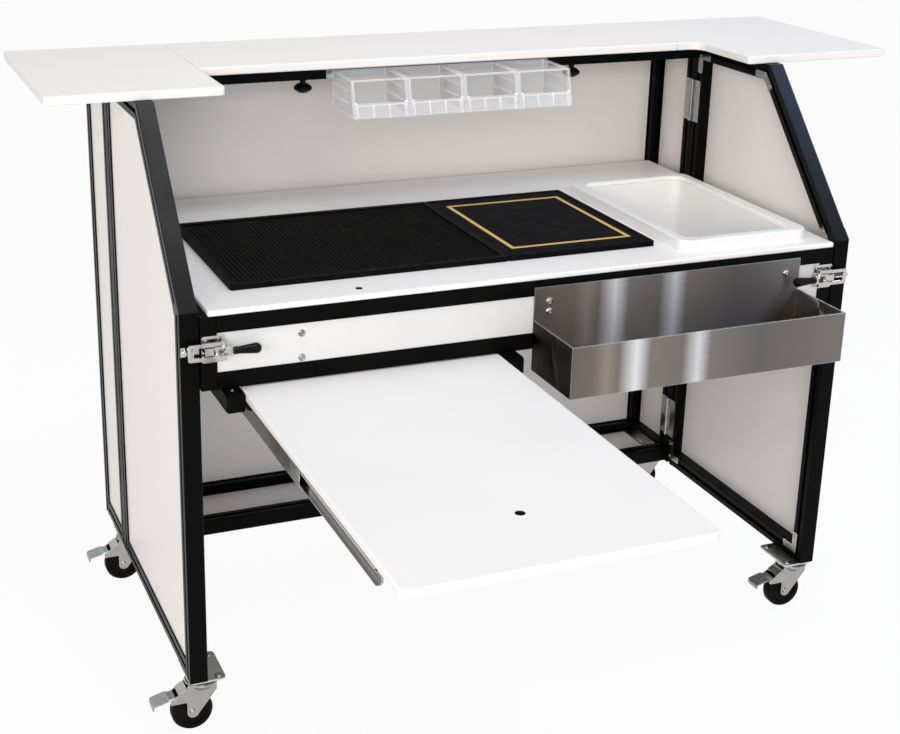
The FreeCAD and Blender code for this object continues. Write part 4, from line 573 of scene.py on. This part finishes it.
def add_fasteners():
    """Rivets, screws and bolts that belong to the fixed frame."""
    zinc = MATERIALS["zinc_steel"]
    rivet = turned_form(((0, 0.5), (1.1, 0.5), (1.3, 1.2), (2.2, 1.15), (3.0, 0.75), (3.3, 0), (0, 0)))
    spots = [((WING_FACE_X, y, z), (1, 0, 0), 0) for y, z in RIVETS_LEFT]
    add_piece("corner_rivets", [(rivet, mirrored(spots))], "frame", zinc)

    flat = head_form(3.6, 0.9, 3, cross_recess(4.4, 0.9), 0.7)
    spots = [((WING_FACE_X, y, z), (1, 0, 0), 0.3 + 0.7 * (z % 7))
             for y in HINGE_SCREW_Y for z in HINGE_SCREW_Z]
    add_piece("hinge_screws", [(flat, mirrored(spots))], "frame", SCREW_STEEL)

    pan = head_form(4.6, 2.2, 3, cross_recess(5.2, 1.1), 1.5)
    cup = turned_form(((4.4, 0), (6.4, 0), (6.2, 0.7), (4.4, 1.1)))
    spots = [((x, FASCIA_FACE_Y, z), (0, -1, 0), 0.4 + z) for x, z in FASCIA_SCREWS]
    add_piece("fascia_screws", [(pan, spots), (cup, spots)], "frame", SCREW_STEEL)

    bolt = hexagon_form(6.2, 4.2)
    washer = turned_form(((3.8, 0), (7.6, 0), (7.6, 0.9), (3.8, 0.9)))
    below = [((x, y, PLATE_UNDERSIDE_Z), (0, 0, -1), 0.2 * y) for x, y in PLATE_BOLTS]
    above = [((x, y, PLATE_TOP_Z), (0, 0, 1), 0.3 * y) for x, y in PLATE_SCREWS]
    stud = head_form(5.6, 2.8, 3, cross_recess(6.2, 1.4), 1.8)
    add_piece("caster_bolts", [(bolt, mirrored(below)), (stud, mirrored(above)), (washer, mirrored(above))],
              "frame", zinc)

    x, z = RAIL_SCREW_PAN
    spots = [((x, RAIL_FACE_Y, z), (0, -1, 0), 0.5)]
    others = [((x, RAIL_FACE_Y, z), (0, -1, 0), turn)
              for (x, z), turn in zip(RAIL_SCREWS_BUTTON, (0.2, 0.1))]
    button = head_form(5.4, 2.6, 2.4, hexagon_recess(2.6), 1.6)
    wide_cup = turned_form(((3.4, 0), (7.0, 0), (6.8, 0.8), (3.4, 1.2)))
    add_piece("speed_rail_screws", [(pan, spots), (wide_cup, spots + others), (button, others)],
              "frame", zinc)


def add_latch_screws():
    """Screws of the latch plates and the cap screw of the left slide tube."""
    zinc = MATERIALS["zinc_steel"]
    small = head_form(2.8, 1.2, 3, cross_recess(3.4, 0.8), 0.8, rings=10, segments=32)
    spots = [((x, LATCH_FACE_Y, z), (0, -1, 0), 0.3 + z) for x, z in LATCH_SCREWS]
    add_piece("latch_screws", [(small, mirrored(spots))], "frame", SCREW_STEEL)
    cap = head_form(3.4, 1.6, 3, cross_recess(3.8, 0.8), 1.0, rings=10, segments=32)
    add_piece("tube_screw", [(cap, [(TUBE_SCREW, (0, 0, 1), 0.4)])], "frame", zinc)


def add_hole_trim():
    """Eyelet of the pin hole in the work surface and the sleeve in the pull-out board's hole."""
    black = MATERIALS["black_plastic"]
    eyelet = turned_form(((3.2, -9.6), (3.9, -9.6), (3.9, 0), (6.2, 0), (6.0, 0.5), (4.4, 0.7), (3.2, 0.2)))
    add_piece("pin_hole_eyelet", [(eyelet, [(PIN_HOLE, (0, 0, 1), 0)])], "frame", black)
    sleeve = turned_form(((6.9, 0.3), (7.9, 0.3), (7.9, 12.6), (7.4, 12.9), (6.9, 12.4)), segments=40)
    add_piece("board_hole_sleeve", [(sleeve, [(BOARD_HOLE, (0, 0, 1), 0)])], "board",
              black)


def add_border_line():
    """Plain gold line round the flat mat's field."""
    low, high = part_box("service_mat")
    corners = []
    for grow in (0, BORDER_WIDTH):
        x0 = low[0] / MM + BORDER_IN_X + grow
        x1 = high[0] / MM - BORDER_IN_X - grow
        y0 = low[1] / MM + BORDER_IN_Y + grow
        y1 = high[1] / MM - BORDER_IN_Y - grow
        corners.append(((x0, y0), (x1, y0), (x1, y1), (x0, y1)))
    points = []
    for z in (BORDER_FIELD_Z, BORDER_FIELD_Z + BORDER_HEIGHT):
        for ring in corners:
            points += [(x, y, z) for x, y in ring]
    faces = []
    for side in range(4):
        after = (side + 1) % 4
        faces.append((side, after, 4 + after, 4 + side))
        faces.append((8 + side, 12 + side, 12 + after, 8 + after))
        faces.append((side, 8 + side, 8 + after, after))
        faces.append((4 + side, 4 + after, 12 + after, 12 + side))
    add_piece("mat_border_line", [((points, faces), [((0, 0, 0), (0, 0, 1), 0)])], "frame",
              printed_line_material(), smooth=False)


def make_camera():
    """Camera at the photograph's place and angle."""
    data = bpy.data.cameras.new("photo_camera")
    data.sensor_width = SENSOR_WIDTH
    data.lens = FOCAL_PX / PHOTO_WIDTH * SENSOR_WIDTH
    data.shift_x = (PHOTO_WIDTH / 2 - PRINCIPAL_X) / PHOTO_WIDTH
    data.shift_y = (PRINCIPAL_Y - PHOTO_HEIGHT / 2) / PHOTO_WIDTH
    data.clip_end = CAMERA_REACH
    camera = bpy.data.objects.new("photo_camera", data)
    bpy.context.collection.objects.link(camera)
    forward = Vector((
        math.sin(CAMERA_AZIMUTH) * math.cos(CAMERA_DROP),
        math.cos(CAMERA_AZIMUTH) * math.cos(CAMERA_DROP),
        -math.sin(CAMERA_DROP),
    ))
    level = Vector((math.cos(CAMERA_AZIMUTH), -math.sin(CAMERA_AZIMUTH), 0))
    above = level.cross(forward)
    right = level * math.cos(CAMERA_ROLL) + above * math.sin(CAMERA_ROLL)
    up = above * math.cos(CAMERA_ROLL) - level * math.sin(CAMERA_ROLL)
    turn = Matrix((right, up, -forward)).transposed().to_4x4()
    camera.matrix_world = Matrix.Translation(CAMERA_PLACE) @ turn
    bpy.context.scene.camera = camera


# Studio: the floor's and the surroundings' own light, and the lamps with size in metres and watts
FLOOR_SIZE = 60
FLOOR_WHITE_SHARE = 0.92
WORLD_LIGHT = 0.52
STUDIO_WHITE = (1.0, 1.0, 1.0, 1)
LAMP_WHITE = (1, 1, 1)
BAR_MIDDLE = (0, 0.1, 0.75)
LAMPS = (
    ("front", (-1.8, -4.5, 2.2), BAR_MIDDLE, (2.6, 1.8), 92, LAMP_WHITE),
    ("side", (-3.8, -2.6, 1.9), BAR_MIDDLE, (1.6, 1.6), 44, (1.0, 0.91, 0.85)),
    ("overhead", (-0.1, -0.6, 3.35), (0, 0.1, 0.9), (0.6, 0.6), 18, LAMP_WHITE),
    ("overhead_cool", (2.4, -0.5, 3.3), (0.3, 0.1, 0.9), (0.6, 0.6), 16, (0.38, 0.56, 1.0)),
)


def seen_rays(tree):
    """1 for rays from the camera, and for rays that metal or glass sends on."""
    path = add_node(tree, "ShaderNodeLightPath")
    seen = add_node(tree, "ShaderNodeMath", operation="MAXIMUM")
    tree.links.new(path.outputs["Is Camera Ray"], seen.inputs[0])
    tree.links.new(path.outputs["Is Glossy Ray"], seen.inputs[1])
    through = add_node(tree, "ShaderNodeMath", operation="MAXIMUM")
    tree.links.new(seen.outputs["Value"], through.inputs[0])
    tree.links.new(path.outputs["Is Transmission Ray"], through.inputs[1])
    return through.outputs["Value"]


def make_floor():
    """Plain white floor that keeps the bar's soft shadow."""
    bm = bmesh.new()
    bmesh.ops.create_grid(bm, x_segments=1, y_segments=1, size=FLOOR_SIZE / 2)
    data = bpy.data.meshes.new("studio_floor")
    bm.to_mesh(data)
    bm.free()
    floor = bpy.data.objects.new("studio_floor", data)
    bpy.context.collection.objects.link(floor)
    material, tree, shader = new_material("studio_floor")
    shader.inputs["Base Color"].default_value = (0.96, 0.96, 0.96, 1)
    shader.inputs["Roughness"].default_value = 0.9
    shader.inputs["Specular IOR Level"].default_value = 0.1
    white = add_node(tree, "ShaderNodeEmission", Color=STUDIO_WHITE, Strength=1.0)
    share = add_node(tree, "ShaderNodeMath", operation="MULTIPLY")
    share.inputs[1].default_value = FLOOR_WHITE_SHARE
    tree.links.new(seen_rays(tree), share.inputs[0])
    mix = add_node(tree, "ShaderNodeMixShader")
    tree.links.new(share.outputs["Value"], mix.inputs["Fac"])
    tree.links.new(shader.outputs["BSDF"], mix.inputs[1])
    tree.links.new(white.outputs["Emission"], mix.inputs[2])
    tree.links.new(mix.outputs["Shader"], tree.nodes["Material Output"].inputs["Surface"])
    data.materials.append(material)


def make_world():
    """White surroundings for the camera and for reflections, a plainer level for light."""
    world = bpy.data.worlds.new("studio")
    bpy.context.scene.world = world
    world.use_nodes = True
    tree = world.node_tree
    background = tree.nodes["Background"]
    background.inputs["Color"].default_value = STUDIO_WHITE
    background.inputs["Strength"].default_value = WORLD_LIGHT
    bright = add_node(tree, "ShaderNodeBackground", Color=STUDIO_WHITE, Strength=1.0)
    mix = add_node(tree, "ShaderNodeMixShader")
    tree.links.new(seen_rays(tree), mix.inputs["Fac"])
    tree.links.new(background.outputs["Background"], mix.inputs[1])
    tree.links.new(bright.outputs["Background"], mix.inputs[2])
    tree.links.new(mix.outputs["Shader"], tree.nodes["World Output"].inputs["Surface"])


def soft_lamp(name, place, target, size, power, colour):
    """A rectangular studio lamp that looks at a point."""
    data = bpy.data.lights.new(name, "AREA")
    data.shape = "RECTANGLE"
    data.size = size[0]
    data.size_y = size[1]
    data.energy = power
    data.color = colour
    lamp = bpy.data.objects.new(name, data)
    bpy.context.collection.objects.link(lamp)
    aim = Vector(target) - Vector(place)
    lamp.matrix_world = Matrix.Translation(place) @ aim.to_track_quat("-Z", "Y").to_matrix().to_4x4()


def make_lamps():
    """Broad front light, a warm one from the side, and two overhead panels, one of them cool."""
    for lamp in LAMPS:
        soft_lamp(*lamp)


bpy.context.scene.view_settings.view_transform = "Standard"
dress_nodes()
add_fasteners()
add_latch_screws()
add_hole_trim()
add_border_line()
make_floor()
make_world()
make_lamps()
make_camera()
